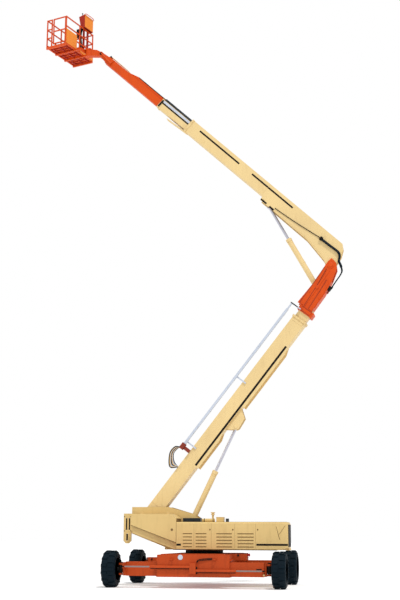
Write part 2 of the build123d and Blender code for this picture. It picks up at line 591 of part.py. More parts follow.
def boom_knuckle():
    """Knuckle: two cheek plates round the inner section's end, which carry the upper boom and its cylinder."""
    pivot = (UPPER_PIVOT_ALONG, UPPER_PIVOT_RISE)
    outline = [
        (KNUCKLE_START + 190, -180), (KNUCKLE_START + 190, 430), (UPPER_PIVOT_ALONG - 930, 400),
        (UPPER_PIVOT_ALONG - 60, 446), (UPPER_PIVOT_ALONG + 60, 446), (UPPER_PIVOT_ALONG + 215, 415),
        (UPPER_PIVOT_ALONG + 165, 180), (UPPER_PIVOT_ALONG + 20, 45), (UPPER_PIVOT_ALONG - 450, -90),
        (UPPER_PIVOT_ALONG - 950, -160),
    ]
    cheek = plate(outline, LOWER_INNER_HALF, KNUCKLE_HALF)
    cheek += plate([(KNUCKLE_START + 190, 140), (KNUCKLE_START + 190, 200), (UPPER_PIVOT_ALONG - 200, 250),
                    (UPPER_PIVOT_ALONG - 200, 190)], KNUCKLE_HALF, KNUCKLE_HALF + 14)
    cheek += bar_y(*pivot, 120, KNUCKLE_HALF, KNUCKLE_HALF + 22, 16)
    body = mirrored(cheek)
    body += cross_pin(*pivot, PIVOT_PIN_RADIUS, -LOWER_INNER_HALF, LOWER_INNER_HALF)
    body += cross_pin(*UPPER_CYLINDER_BASE, 45, -LOWER_INNER_HALF, LOWER_INNER_HALF)
    floor = plate([(KNUCKLE_START + 251, -178), (UPPER_PIVOT_ALONG - 950, -160), (UPPER_PIVOT_ALONG - 450, -90),
                   (UPPER_PIVOT_ALONG - 450, -62), (UPPER_PIVOT_ALONG - 950, -132), (KNUCKLE_START + 251, -150)],
                  -LOWER_INNER_HALF, LOWER_INNER_HALF)
    body += floor
    collar = block(KNUCKLE_START, KNUCKLE_START + 191, -KNUCKLE_HALF - 10, KNUCKLE_HALF + 10, -295, 295)
    collar -= block(KNUCKLE_START - 1, KNUCKLE_START + 192, -LOWER_INNER_HALF, LOWER_INNER_HALF, LOWER_INNER_LOW,
                    LOWER_INNER_HIGH)
    body += collar
    return lower_frame * body


# ---------------------------------------------------------------- upper boom
HEEL_PLATE = 24.0
LIP_REACH = 830.0            # guide lip that stands out under the middle section
FORK_PLATE = 22.0


def upper_base():
    """Upper boom base section: deep heel cheeks, open below for the lift cylinder, and a closed box tube."""
    tube = box_tube(HEEL_LENGTH + 90, UPPER_BASE_END, UPPER_BASE_HALF, UPPER_BASE_LOW, UPPER_BASE_HIGH, UPPER_WALL)
    along, rise = UPPER_CYLINDER_LUG
    outline = [
        (HEEL_LENGTH + 91, UPPER_BASE_LOW), (HEEL_LENGTH + 20, 300), (HEEL_LENGTH - 10, 165), (1270, 150), (320, -20),
        (130, -105), (0, -135), (-105, -80), (-130, 40), (-60, 470), (70, 730), (200, UPPER_BASE_HIGH),
        (HEEL_LENGTH + 91, UPPER_BASE_HIGH),
    ]
    cheek = plate(outline, UPPER_BASE_HALF - HEEL_PLATE, UPPER_BASE_HALF)
    cheek += cross_pin(along, rise, 42, 75, UPPER_BASE_HALF - HEEL_PLATE)
    tube += mirrored(cheek)
    tube += block(200, HEEL_LENGTH + 91, -UPPER_BASE_HALF + 1, UPPER_BASE_HALF - 1, UPPER_BASE_HIGH - 12, UPPER_BASE_HIGH)
    tube -= bar_y(0, 0, bore_radius(PIVOT_PIN_RADIUS), -UPPER_BASE_HALF - 1, UPPER_BASE_HALF + 1)
    tube += box_tube(UPPER_BASE_END - 90, UPPER_BASE_END, UPPER_BASE_HALF + 14, UPPER_BASE_LOW - 14,
                     UPPER_BASE_HIGH + 14, 14)
    tube += plate([(UPPER_BASE_END - 90, UPPER_BASE_LOW - 28), (UPPER_BASE_END - 90, UPPER_BASE_LOW - 1),
                   (UPPER_BASE_END, UPPER_BASE_LOW - 1), (UPPER_BASE_END + LIP_REACH, UPPER_BASE_LOW - 66),
                   (UPPER_BASE_END + LIP_REACH, UPPER_BASE_LOW - 86), (UPPER_BASE_END, UPPER_BASE_LOW - 36)], -120, 120)
    return upper_frame * tube


def upper_mid():
    """Middle section of the upper boom, slotted along its roof for the hose trough, with its end collar."""
    tube = box_tube(UPPER_MID_START, UPPER_MID_END, UPPER_MID_HALF, UPPER_MID_LOW, UPPER_MID_HIGH, 8)
    tube += box_tube(UPPER_MID_END - 60, UPPER_MID_END, UPPER_MID_HALF + 16, UPPER_MID_LOW - 16, UPPER_MID_HIGH + 16, 16)
    slot = TROUGH_HALF + TROUGH_GAP
    tube -= block(UPPER_MID_START - 1, UPPER_MID_END + 1, -slot, slot, UPPER_MID_HIGH - 9, UPPER_MID_HIGH + 17)
    return upper_frame * tube


def mid_carrier():
    """Raised hose channel over the slot in the middle section's roof."""
    slot = TROUGH_HALF + TROUGH_GAP
    top = TROUGH_HIGH + TROUGH_GAP
    channel = block(UPPER_MID_START + 300, UPPER_MID_END - 61, -slot - 6, slot + 6, UPPER_MID_HIGH, top + 6)
    channel -= block(UPPER_MID_START + 299, UPPER_MID_END - 60, -slot, slot, UPPER_MID_HIGH - 1, top)
    return upper_frame * channel


def upper_fly():
    """Fly section with the fork that carries the level pin."""
    tube = box_tube(FLY_START, FLY_END, FLY_HALF, FLY_LOW, FLY_HIGH, 8)
    tip = (TIP_PIN_ALONG, TIP_PIN_RISE)
    cheek = plate([(FLY_END - 260, FLY_LOW), (TIP_PIN_ALONG - 40, TIP_PIN_RISE - 75), (TIP_PIN_ALONG - 40, TIP_PIN_RISE + 75),
                   (FLY_END - 260, FLY_HIGH)], FLY_HALF, FLY_HALF + FORK_PLATE)
    cheek += bar_y(*tip, 88, FLY_HALF, FLY_HALF + FORK_PLATE)
    tube += mirrored(cheek)
    tube += cross_pin(*tip, 30, -FLY_HALF, FLY_HALF)
    tube += block(FLY_END - 8, FLY_END, -FLY_HALF + 1, FLY_HALF - 1, FLY_LOW + 1, FLY_HIGH - 1)
    return upper_frame * tube


def fly_carrier():
    """Hose trough on top of the fly section, with a sloping outer end; it slides in the middle section's channel."""
    start = FLY_START + 100
    outer = [(start, FLY_HIGH), (start, TROUGH_HIGH), (TROUGH_END - 420, TROUGH_HIGH), (TROUGH_END, FLY_HIGH + 20),
             (TROUGH_END, FLY_HIGH)]
    inner = [(start - 1, FLY_HIGH + 6), (start - 1, TROUGH_HIGH - 6), (TROUGH_END - 425, TROUGH_HIGH - 6),
             (TROUGH_END - 40, FLY_HIGH + 20), (TROUGH_END - 40, FLY_HIGH + 6)]
    return upper_frame * (plate(outer, -TROUGH_HALF, TROUGH_HALF) - plate(inner, -TROUGH_HALF + 6, TROUGH_HALF - 6))


# ---------------------------------------------------------------- lift cylinders
def turned_to(start, end):
    """Placement whose X axis runs from start to end, both (x, z) points of the machine."""
    run = hypot(end[0] - start[0], end[1] - start[1])
    x_dir = ((end[0] - start[0]) / run, 0, (end[1] - start[1]) / run)
    return Plane(origin=(start[0], 0, start[1]), x_dir=x_dir, z_dir=(-x_dir[2], 0, x_dir[0])).location, run


def cylinder_barrel(start, end, radius, length, rod_radius, pin_radius, eye_half):
    """Barrel with its base eye and bored head."""
    place, _ = turned_to(start, end)
    barrel = bar_x(95, length, 0, 0, radius, 16)
    barrel += bar_x(length - 110, length, 0, 0, radius + 9, 16)
    barrel += bar_y(0, 0, 90, -eye_half, eye_half, 16)
    barrel += block(0, 110, -eye_half, eye_half, -70, 70)
    barrel -= bar_x(140, length + 1, 0, 0, bore_radius(rod_radius, 16), 16)
    barrel -= bar_y(0, 0, bore_radius(pin_radius), -eye_half - 1, eye_half + 1)
    return place * barrel


def cylinder_rod(start, end, rod_radius, length, eye_radius, eye_half):
    """Rod with its eye, which stands between the stub pins of the boom's lugs."""
    place, run = turned_to(start, end)
    rod = bar_x(run - length, run - eye_radius * 0.6, 0, 0, rod_radius, 16)
    rod += bar_y(run, 0, eye_radius, -eye_half, eye_half, 16)
    rod -= bar_y(run, 0, bore_radius(42), -eye_half - 1, eye_half + 1)
    return place * rod


# ---------------------------------------------------------------- platform
TIP_PIN = on_upper(TIP_PIN_ALONG, TIP_PIN_RISE)
ROTATOR_X = TIP_PIN[0] - ROTATOR_REACH
platform_frame = Pos(ROTATOR_X, 0, 0) * Rot(0, 0, PLATFORM_SWING)
NEAR_SIDE = -PLATFORM_STANDOFF
FAR_SIDE = NEAR_SIDE - PLATFORM_WIDTH
HALF_LENGTH = PLATFORM_LENGTH / 2
GATE_AXIS = NEAR_SIDE - RAIL_TUBE - 27
GATE_LIFT = 60.0


def level_hub():
    """Sleeve on the tip pin, turned by the lower boom's levelling circuit."""
    return bar_y(*TIP_PIN, 46, -100, 100, 16) - bar_y(*TIP_PIN, bore_radius(30), -101, 101)


def platform_support():
    """Level arm from the tip pin to the rotator housing under the platform's edge."""
    x, z = TIP_PIN
    arm = plate([(x + 20, z - 70), (x + 20, z + 70), (x - 170, z + 190), (ROTATOR_X + 100, z + 230),
                 (ROTATOR_X + 100, z - 30)], -95, 95)
    arm += bar_y(x, z, 74, -95, 95)
    arm += Pos(ROTATOR_X, 0, z + 100) * Cylinder(130, 260)
    arm -= cross_pin(x, z, 46 + RUN_CLEARANCE, -96, 96)
    return arm


def platform_floor():
    """Platform floor with its edge frame, the beams below it and the bracket on the rotator."""
    top = PLATFORM_FLOOR
    low = top - FLOOR_THICKNESS
    deck = block(FAR_SIDE, NEAR_SIDE, -HALF_LENGTH, HALF_LENGTH, top - FLOOR_SHEET, top)
    edge = block(FAR_SIDE, NEAR_SIDE, -HALF_LENGTH, HALF_LENGTH, low, top - FLOOR_SHEET)
    deck += edge - block(FAR_SIDE + 40, NEAR_SIDE - 40, -HALF_LENGTH + 40, HALF_LENGTH - 40, low - 1, top)
    for y in (-HALF_LENGTH + 30, -300, 300, HALF_LENGTH - 30):
        deck += block(FAR_SIDE, NEAR_SIDE, y - 30, y + 30, low - 50, top - FLOOR_SHEET)
    base = TIP_PIN[1] + 232
    for y in (-300, 300):
        deck += block(NEAR_SIDE - 300, -145, y - 30, y + 30, low - 50, low + 21)
    deck += block(-175, -145, -330, 330, low - 110, low + 21)
    deck += block(-175, 120, -120, 120, base, base + 40)
    return platform_frame * deck


def platform_rails():
    """Guard rails of square tube: posts, top rails, middle rails and kick plates, open at the gate."""
    t = RAIL_TUBE
    low = PLATFORM_FLOOR
    high = low + RAIL_HEIGHT
    posts = [(FAR_SIDE, -HALF_LENGTH), (FAR_SIDE, HALF_LENGTH - t), (NEAR_SIDE - t, -HALF_LENGTH),
             (NEAR_SIDE - t, HALF_LENGTH - t), (FAR_SIDE, -t / 2), (NEAR_SIDE - t, -t / 2),
             (FAR_SIDE + PLATFORM_WIDTH - GATE_WIDTH - 2 * t, -HALF_LENGTH)]
    parts = [block(x, x + t, y, y + t, low, high) for x, y in posts]
    for height in (high - t, low + 0.62 * RAIL_HEIGHT, low + 0.3 * RAIL_HEIGHT):
        parts.append(block(FAR_SIDE, FAR_SIDE + t, -HALF_LENGTH, HALF_LENGTH, height, height + t))
        parts.append(block(NEAR_SIDE - t, NEAR_SIDE, -HALF_LENGTH, HALF_LENGTH, height, height + t))
        parts.append(block(FAR_SIDE, NEAR_SIDE, HALF_LENGTH - t, HALF_LENGTH, height, height + t))
        parts.append(block(FAR_SIDE, FAR_SIDE + PLATFORM_WIDTH - GATE_WIDTH - t, -HALF_LENGTH, -HALF_LENGTH + t,
                           height, height + t))
    parts.append(block(FAR_SIDE, FAR_SIDE + 6, -HALF_LENGTH, HALF_LENGTH, low, low + 100))
    parts.append(block(NEAR_SIDE - 6, NEAR_SIDE, -HALF_LENGTH, HALF_LENGTH, low, low + 100))
    parts.append(block(NEAR_SIDE - 6, NEAR_SIDE, -HALF_LENGTH, -0.21 * HALF_LENGTH, low, low + 0.52 * RAIL_HEIGHT))
    for height in (GATE_LIFT - 16, 0.5 * RAIL_HEIGHT):
        parts.append(block(GATE_AXIS - t / 2, NEAR_SIDE - t + 1, -HALF_LENGTH, -HALF_LENGTH + t, low + height - 10,
                           low + height))
    parts.append(block(FAR_SIDE, NEAR_SIDE, HALF_LENGTH - 6, HALF_LENGTH, low, low + 100))
    rails = parts[0]
    for part in parts[1:]:
        rails += part
    return platform_frame * rails


def platform_gate():
    """Swing gate in the short side, hinged by its round stile beside the near corner post."""
    t = RAIL_TUBE
    low = PLATFORM_FLOOR + GATE_LIFT
    high = PLATFORM_FLOOR + RAIL_HEIGHT
    latch = NEAR_SIDE - GATE_WIDTH + 8
    y = -HALF_LENGTH
    gate = block(latch, latch + t, y, y + t, low, high)
    for height in (low, PLATFORM_FLOOR + 0.5 * RAIL_HEIGHT + 12, high - t):
        gate += block(latch, GATE_AXIS, y, y + t, height, height + t)
    stile = Pos(GATE_AXIS, y + t / 2, 0)
    gate += stile * (Pos(0, 0, (low + high) / 2) * Cylinder(t / 2, high - low))
    gate -= stile * block(-t, t, -t, t, PLATFORM_FLOOR + 0.5 * RAIL_HEIGHT - 20, PLATFORM_FLOOR + 0.5 * RAIL_HEIGHT + 10)
    return platform_frame * gate


def platform_console():
    """Control console above the rail on the boom side, hollow below, on its pedestal."""
    low = PLATFORM_FLOOR + RAIL_HEIGHT + 2
    face = NEAR_SIDE + 70
    case = plate([(face, low), (face - 180, low), (face - 285, low + 500), (face - 10, low + 555)], 200, 760)
    case -= plate([(face - 12, low - 1), (face - 168, low - 1), (face - 262, low + 480), (face - 24, low + 525)], 212, 748)
    case += block(NEAR_SIDE - 90, NEAR_SIDE - RAIL_TUBE - 2, 200, 740, low, low + 60)
    case += block(NEAR_SIDE - 90, NEAR_SIDE - RAIL_TUBE - 2, 300, 380, PLATFORM_FLOOR, low + 1)
    case += block(NEAR_SIDE - 90, NEAR_SIDE - RAIL_TUBE - 2, 560, 640, PLATFORM_FLOOR, low + 1)
    return platform_frame * case


# ---------------------------------------------------------------- write every sub-part
os.makedirs("parts", exist_ok=True)
save("chassis_frame", chassis_frame())
save("extension_barrels", extension_barrels())
save("slew_ring", slew_ring())
save("chassis_boxes", chassis_boxes())
for corner, side_x, side_y in CORNERS:
    middle_x, middle_y = wheel_middle(side_x, side_y)
    facing = Pos(middle_x, middle_y, HUB_HEIGHT) * Rot(0, 0, 0 if side_x > 0 else 180)
    save("axle_beam_" + corner, axle_beam(side_x, side_y))
    save("knuckle_" + corner, steering_knuckle(side_x, side_y))
    save("tyre_" + corner, facing * tyre())
    save("rim_" + corner, facing * rim())

save("turret_frame", turret_frame())
save("counterweight", counterweight())
save("end_brackets", end_brackets())
save("hood_near", hood(-1))
save("hood_far", hood(1))
save("hood_fittings", hood_fittings())
save("engine_block", engine_block())
save("tank_block", tank_block())

save("lower_boom_base", lower_base())
save("hose_guide", hose_guide())
save("hose_rod", hose_rod())
save("lower_boom_inner", lower_inner())
save("boom_knuckle", boom_knuckle())
save("upper_boom_base", upper_base())
save("upper_boom_mid", upper_mid())
save("mid_hose_trough", mid_carrier())
save("upper_boom_fly", upper_fly())
save("fly_hose_trough", fly_carrier())

lower_eye = on_lower(*LOWER_CYLINDER_LUG)
save("lower_lift_barrel", cylinder_barrel(LOWER_CYLINDER_BASE, lower_eye, LOWER_BARREL_RADIUS, LOWER_BARREL_LENGTH,
                                          LOWER_ROD_RADIUS, 45, 70))
save("lower_lift_rod", cylinder_rod(LOWER_CYLINDER_BASE, lower_eye, LOWER_ROD_RADIUS, LOWER_ROD_LENGTH, 70, 65))
upper_base_pin = on_lower(*UPPER_CYLINDER_BASE)
upper_eye = on_upper(*UPPER_CYLINDER_LUG)
save("upper_lift_barrel", cylinder_barrel(upper_base_pin, upper_eye, UPPER_BARREL_RADIUS, UPPER_BARREL_LENGTH,
                                          UPPER_ROD_RADIUS, 45, 80))
save("upper_lift_rod", cylinder_rod(upper_base_pin, upper_eye, UPPER_ROD_RADIUS, UPPER_ROD_LENGTH, 75, 68))

save("level_hub", level_hub())
save("platform_support", platform_support())
save("platform_floor", platform_floor())
save("platform_rails", platform_rails())
save("platform_gate", platform_gate())
save("platform_console", platform_console())
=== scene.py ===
"""Articulating boom lift: paint, small parts, light and camera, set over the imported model."""
import json
import math
import bpy
import bmesh
from mathutils import Matrix, Vector


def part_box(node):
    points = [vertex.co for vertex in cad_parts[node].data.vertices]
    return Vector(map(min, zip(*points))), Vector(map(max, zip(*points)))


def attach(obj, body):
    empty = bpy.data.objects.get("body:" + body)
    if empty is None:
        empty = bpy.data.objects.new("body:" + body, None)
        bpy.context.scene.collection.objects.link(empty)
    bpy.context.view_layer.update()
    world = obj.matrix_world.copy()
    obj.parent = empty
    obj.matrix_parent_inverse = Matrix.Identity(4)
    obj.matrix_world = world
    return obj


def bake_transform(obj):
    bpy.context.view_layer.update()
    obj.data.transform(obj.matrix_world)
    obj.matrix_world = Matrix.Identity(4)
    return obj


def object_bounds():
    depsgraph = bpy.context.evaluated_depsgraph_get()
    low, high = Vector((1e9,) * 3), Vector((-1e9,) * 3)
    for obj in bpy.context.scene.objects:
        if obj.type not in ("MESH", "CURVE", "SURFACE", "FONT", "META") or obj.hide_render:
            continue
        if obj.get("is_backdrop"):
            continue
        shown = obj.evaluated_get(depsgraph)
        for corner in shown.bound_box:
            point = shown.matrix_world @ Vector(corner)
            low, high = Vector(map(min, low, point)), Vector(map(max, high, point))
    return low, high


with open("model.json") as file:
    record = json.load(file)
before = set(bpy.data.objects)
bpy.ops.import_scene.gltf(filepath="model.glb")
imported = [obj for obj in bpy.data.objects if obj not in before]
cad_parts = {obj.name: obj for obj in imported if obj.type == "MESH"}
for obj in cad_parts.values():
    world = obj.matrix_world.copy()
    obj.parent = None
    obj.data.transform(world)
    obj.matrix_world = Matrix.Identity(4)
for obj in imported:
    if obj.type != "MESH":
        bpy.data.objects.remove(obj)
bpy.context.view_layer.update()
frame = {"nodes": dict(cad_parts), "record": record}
record = frame["record"]
nodes = frame["nodes"]
joints = {joint["name"]: joint for joint in record["behaviour"]["joints"]}


# Where the machine is looked at from: a long lens on the ground, well back from the left wheel, aimed up
# along the booms and turned a little to the machine's right.
focal_length = 96.3
stand_off, aside, eye_height = 37.213, -0.185, 1.567
yaw, climb, roll = math.radians(-10.37), math.radians(12.55), math.radians(0.23)
ahead = Vector((math.sin(yaw), math.cos(yaw), 0))
beside = Vector((math.cos(yaw), -math.sin(yaw), 0))
lens = bpy.data.cameras.new("lens")
lens.sensor_fit = "HORIZONTAL"
lens.sensor_width = 36
lens.lens = focal_length
lens.clip_end = 400
camera = bpy.data.objects.new("camera", lens)
bpy.context.scene.collection.objects.link(camera)
sight = ahead * math.cos(climb) + Vector((0, 0, math.sin(climb)))
over = -ahead * math.sin(climb) + Vector((0, 0, math.cos(climb)))
stance = Matrix((beside, over, -sight)).transposed().to_4x4()
camera.matrix_world = (
    Matrix.Translation(-stand_off * ahead + aside * beside + Vector((0, 0, eye_height)))
    @ stance
    @ Matrix.Rotation(roll, 4, "Z")
)
bpy.context.scene.camera = camera


# The ground and the light: a pale seamless floor that reads as white, a soft sky all round, one broad lamp
# high on the left and a weaker one from the right.
class Wire:
    """One socket of a material. It adds and multiplies like a number."""

    def __init__(self, tree, socket=None):
        self.tree = tree
        self.socket = socket

    def node(self, kind, settings=None, sockets=None, out=0):
        """Any node: its type, its settings, then the values or links of its sockets."""
        made = self.tree.nodes.new("ShaderNode" + kind)
        for key, value in (settings or {}).items():
            if key == "stops":
                ramp = made.color_ramp.elements
                for stop, (place, shade) in zip(ramp, value):
                    stop.position = place
                    stop.color = (shade, shade, shade, 1)
            else:
                setattr(made, key, value)
        for key, value in (sockets or {}).items():
            if isinstance(value, Wire):
                self.tree.links.new(value.socket, made.inputs[key])
            else:
                made.inputs[key].default_value = value
        return Wire(self.tree, made.outputs[out])

    def __add__(self, other):
        return self.node("Math", {"operation": "ADD"}, {0: self, 1: other})

    def __mul__(self, other):
        return self.node("Math", {"operation": "MULTIPLY"}, {0: self, 1: other})

    __radd__ = __add__
    __rmul__ = __mul__

    def tint(self, first, second):
        """From the first colour to the second, as this socket goes from 0 to 1."""
        return self.node("Mix", {"data_type": "RGBA"}, {0: self, 6: first, 7: second}, out=2)


def shader(name):
    """A new material: the material, its bench of nodes and its main shader."""
    made = bpy.data.materials.new(name)
    made.use_nodes = True
    return made, Wire(made.node_tree), made.node_tree.nodes["Principled BSDF"]


def plug(bench, wire, shader_node, socket):
    bench.tree.links.new(wire.socket, shader_node.inputs[socket])


bpy.context.scene.view_settings.view_transform = "Standard"
floor_paint, bench, coat = shader("pale_floor")
coat.inputs["Base Color"].default_value = (0.82, 0.82, 0.82, 1)
coat.inputs["Roughness"].default_value = 0.95
coat.inputs["Specular IOR Level"].default_value = 0.0
coat.inputs["Emission Color"].default_value = (1, 1, 1, 1)
coat.inputs["Emission Strength"].default_value = 0.22
ground_reach = 3000
corners = [(x * ground_reach, y * ground_reach, 0) for x, y in ((-1, -1), (1, -1), (1, 1), (-1, 1))]
ground_mesh = bpy.data.meshes.new("ground")
ground_mesh.from_pydata(corners, [], [(0, 1, 2, 3)])
ground = bpy.data.objects.new("ground", ground_mesh)
ground_mesh.materials.append(floor_paint)
bpy.context.scene.collection.objects.link(ground)
ground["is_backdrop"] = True

sky_light, sky_seen = 0.65, 1.0
world = bpy.data.worlds.new("studio")
world.use_nodes = True
bpy.context.scene.world = world
straight = Wire(world.node_tree).node("LightPath", out="Is Camera Ray")
strength = straight * (sky_seen - sky_light) + sky_light
background = world.node_tree.nodes["Background"]
background.inputs["Color"].default_value = (1, 1, 1, 1)
world.node_tree.links.new(strength.socket, background.inputs["Strength"])
# name, the point that it shines from, the width of its disc in degrees, power
for name, place, spread, power in (
    ("key_sun", (7, -10, 22), 6, 1.75),
    ("side_sun", (-16, -12, 9), 25, 0.3),
):
    light = bpy.data.lights.new(name, "SUN")
    light.angle = math.radians(spread)
    light.energy = power
    lamp = bpy.data.objects.new(name, light)
    lamp.rotation_euler = (-Vector(place)).to_track_quat("-Z", "Y").to_euler()
    bpy.context.scene.collection.objects.link(lamp)


# Steelwork of the machine: welded plate, sprayed warm cream on turntable and booms and orange-red on chassis,
# knuckle, fly and platform. The paint is weathered and has faint runs of dirt. Rods are plated, pipes bare.
def sprayed(name, colour, dusty, roughness, metal=0.0, shine=0.2):
    """Sprayed machine paint: slightly uneven, dirtier in blotches and in streaks, with a soft gloss."""
    made, bench, coat = shader(name)
    place = bench.node("TexCoord", out="Object")
    cloud = bench.node("TexNoise", None, {"Vector": place, "Scale": 0.7, "Detail": 6.0, "Roughness": 0.6})
    blotch = bench.node("ValToRGB", {"stops": [(0.35, 0.0), (0.75, 1.0)]}, {"Fac": cloud})
    tall = bench.node("Mapping", None, {"Vector": place, "Scale": (5.0, 5.0, 0.6)})
    streak = bench.node("TexNoise", None, {"Vector": tall, "Scale": 2.2, "Detail": 4.0})
    run = bench.node("ValToRGB", {"stops": [(0.52, 0.0), (0.72, 1.0)]}, {"Fac": streak})
    grain = bench.node("TexNoise", None, {"Vector": place, "Scale": 90.0, "Detail": 3.0})
    rough = bench.node("Bump", None, {"Strength": 0.08, "Distance": 0.002, "Height": grain})
    plug(bench, (blotch * 0.5 + run * 0.35).tint((*colour, 1), (*dusty, 1)), coat, "Base Color")
    plug(bench, blotch * 0.14 + run * 0.06 + roughness, coat, "Roughness")
    plug(bench, rough, coat, "Normal")
    coat.inputs["Metallic"].default_value = metal
    coat.inputs["Specular IOR Level"].default_value = shine
    return made


cream = sprayed("cream_paint", (0.80, 0.60, 0.285), (0.65, 0.47, 0.22), 0.36)
turret_cream = sprayed("turret_cream", (0.72, 0.52, 0.215), (0.58, 0.41, 0.165), 0.38)
orange = sprayed("orange_paint", (0.69, 0.078, 0.005), (0.48, 0.05, 0.005), 0.38)
# Darker, dirtier copy of the orange for the chassis: partly real dirt, partly painted shade low down.
chassis_orange_dirt_and_shade = sprayed("chassis_orange_dirt_and_shade", (0.50, 0.062, 0.007), (0.30, 0.04, 0.008), 0.5)
deep_red = sprayed("deep_red_paint", (0.40, 0.022, 0.008), (0.24, 0.014, 0.008), 0.5)
black = sprayed("black_paint", (0.006, 0.005, 0.005), (0.02, 0.017, 0.014), 0.5, 0.0, 0.1)
slate = sprayed("slate_plate", (0.05, 0.065, 0.08), (0.03, 0.04, 0.05), 0.45, 0.2)
galvanised = sprayed("galvanised_steel", (0.60, 0.65, 0.74), (0.44, 0.48, 0.56), 0.42, 0.25)
plated = sprayed("plated_rod", (0.55, 0.55, 0.62), (0.42, 0.42, 0.48), 0.22, 0.6, 0.5)


# Tyres and hoses: near-black moulded rubber, its colour tinted blue as a painted sheen, dustier in blotches
# and finely pored. The other CAD pieces get their paint by slot. What sits lower than chassis_top is chassis.
rubber, bench, coat = shader("tyre_rubber")
place = bench.node("TexCoord", out="Object")
dust = bench.node("TexNoise", None, {"Vector": place, "Scale": 4.0, "Detail": 7.0, "Roughness": 0.65})
pores = bench.node("TexNoise", None, {"Vector": place, "Scale": 160.0, "Detail": 2.0})
moulded = bench.node("Bump", None, {"Strength": 0.15, "Distance": 0.002, "Height": pores})
# Both colours are tinted blue as a painted sheen; the noise between them is dust.
plug(bench, dust.tint((0.001, 0.005, 0.009, 1), (0.005, 0.014, 0.022, 1)), coat, "Base Color")
plug(bench, dust * 0.2 + 0.5, coat, "Roughness")
plug(bench, moulded, coat, "Normal")
coat.inputs["Specular IOR Level"].default_value = 0.08

by_slot = {
    "cream_paint": cream, "cream_shell": cream, "orange_paint": orange, "dark_metal": black, "chrome": plated,
    "bare_steel": galvanised, "tyre": rubber, "engine_iron": black, "tank_plastic": black,
}
chassis_top = 1.2
air_cleaner = (-0.005, 0.82)
slots = {part["node"]: part["material_slot"] for part in record["subparts"]}
for node, thing in nodes.items():
    # Orange parts low on the machine get the chassis paint, darkened partly as painted shade.
    low_chassis = slots[node] == "orange_paint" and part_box(node)[1][2] < chassis_top
    thing.data.materials.clear()
    thing.data.materials.append(chassis_orange_dirt_and_shade if low_chassis else by_slot[slots[node]])
for node in ("turret_frame", "counterweight", "end_brackets", "hood_near", "hood_far", "hood_fittings"):
    nodes[node].data.materials[0] = turret_cream
nodes["mid_hose_trough"].data.materials[0] = slate
nodes["platform_console"].data.materials[0] = deep_red
nodes["hood_fittings"].data.materials.append(slate)
for face in nodes["hood_fittings"].data.polygons:
    if not air_cleaner[0] < face.center.x < air_cleaner[1]:
        face.material_index = 1


# Wheels: ten stud nuts clamp each steel rim to its hub. A dished cap and a valve stem stand out of the rim,
# and raised bands are moulded on both side walls of the tyre.
def bar(work, points, radius, sides=10):
    """A round bar through points, with closed ends."""
    points = [Vector(point) for point in points]
    rings = []
    for index, point in enumerate(points):
        run = (points[min(index + 1, len(points) - 1)] - points[max(index - 1, 0)]).normalized()
        side = run.orthogonal().normalized() if not rings else (side - run * side.dot(run)).normalized()
        second = run.cross(side)
        rings.append([
            work.verts.new(point + radius * (math.cos(turn) * side + math.sin(turn) * second))
            for turn in (2 * math.pi * step / sides for step in range(sides))
        ])
    clad(work, rings)


def turned(work, middle, axis, rows, sides=20):
    """A turned piece about an axis through a point, from rows of (along, radius)."""
    axis = Vector(axis).normalized()
    first = axis.orthogonal().normalized()
    second = axis.cross(first)
    rings = []
    for along, radius in rows:
        rings.append([
            work.verts.new(
                Vector(middle) + along * axis + radius * (math.cos(turn) * first + math.sin(turn) * second)
            )
            for turn in (2 * math.pi * (step + 0.5) / sides for step in range(sides))
        ])
    clad(work, rings)


def clad(work, rings):
    """Faces from each ring of points to the next, and one over each end."""
    for near, far in zip(rings, rings[1:]):
        for step in range(len(near)):
            work.faces.new((near[step], near[step - 1], far[step - 1], far[step]))
    for ring in (rings[0], rings[-1]):
        work.faces.new(ring)


def bolt(work, spot, axis, size):
    """A hexagon bolt with its washer, its head standing out along the axis."""
    turned(work, spot, axis, [(-0.002, size * 1.25), (size * 0.25, size * 1.25)], 14)
    turned(work, spot, axis, [(size * 0.2, size), (size * 0.95, size), (size * 1.1, size * 0.8)], 6)


def fitted(name, work, paint, body, place=None):
    """Set the worked piece in place, paint it and fix it to its body, where it has one."""
    if place:
        bmesh.ops.transform(work, matrix=place, verts=work.verts)
    bmesh.ops.recalc_face_normals(work, faces=work.faces)
    mesh = bpy.data.meshes.new(name)
    work.to_mesh(mesh)
    work.free()
    mesh.materials.append(paint)
    thing = bpy.data.objects.new(name, mesh)
    bpy.context.scene.collection.objects.link(thing)
    if body:
        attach(thing, body)
    return thing


studs, stud_size, stud_circle, stud_stand = 10, 0.017, 0.165, 0.048
for corner in ("rear_left", "rear_right", "front_left", "front_right"):
    hub = Vector(joints["wheel_roll_" + corner]["pos_m"])
    out = 1 if hub.x > 0 else -1
    nuts = bmesh.new()
    for step in range(studs):
        turn = 2 * math.pi * step / studs
        spot = hub + Vector((out * stud_stand, stud_circle * math.cos(turn), stud_circle * math.sin(turn)))
        bolt(nuts, spot, (out, 0, 0), stud_size)
    dish = [(0, 0.088), (0.022, 0.082), (0.034, 0.06), (0.036, 0.02)]
    turned(nuts, hub + Vector((out * 0.118, 0, 0)), (out, 0, 0), dish)
    bar(nuts, [hub + Vector((out * 0.06, 0, 0.236)), hub + Vector((out * 0.15, 0, 0.222))], 0.006, 8)
    fitted("stud_nuts_" + corner, nuts, galvanised, "wheel_" + corner)
    bands = bmesh.new()
    for side in (-1, 1):
        for radius, stand in ((0.392, 0.228), (0.432, 0.231)):
            inner = [(-0.014, radius - 0.012), (0.003, radius - 0.007)]
            outer = [(0.003, radius + 0.007), (-0.014, radius + 0.012)]
            turned(bands, hub + Vector((side * stand, 0, 0)), (side, 0, 0), inner + outer, 56)
    fitted("side_wall_bands_" + corner, bands, rubber, "wheel_" + corner)


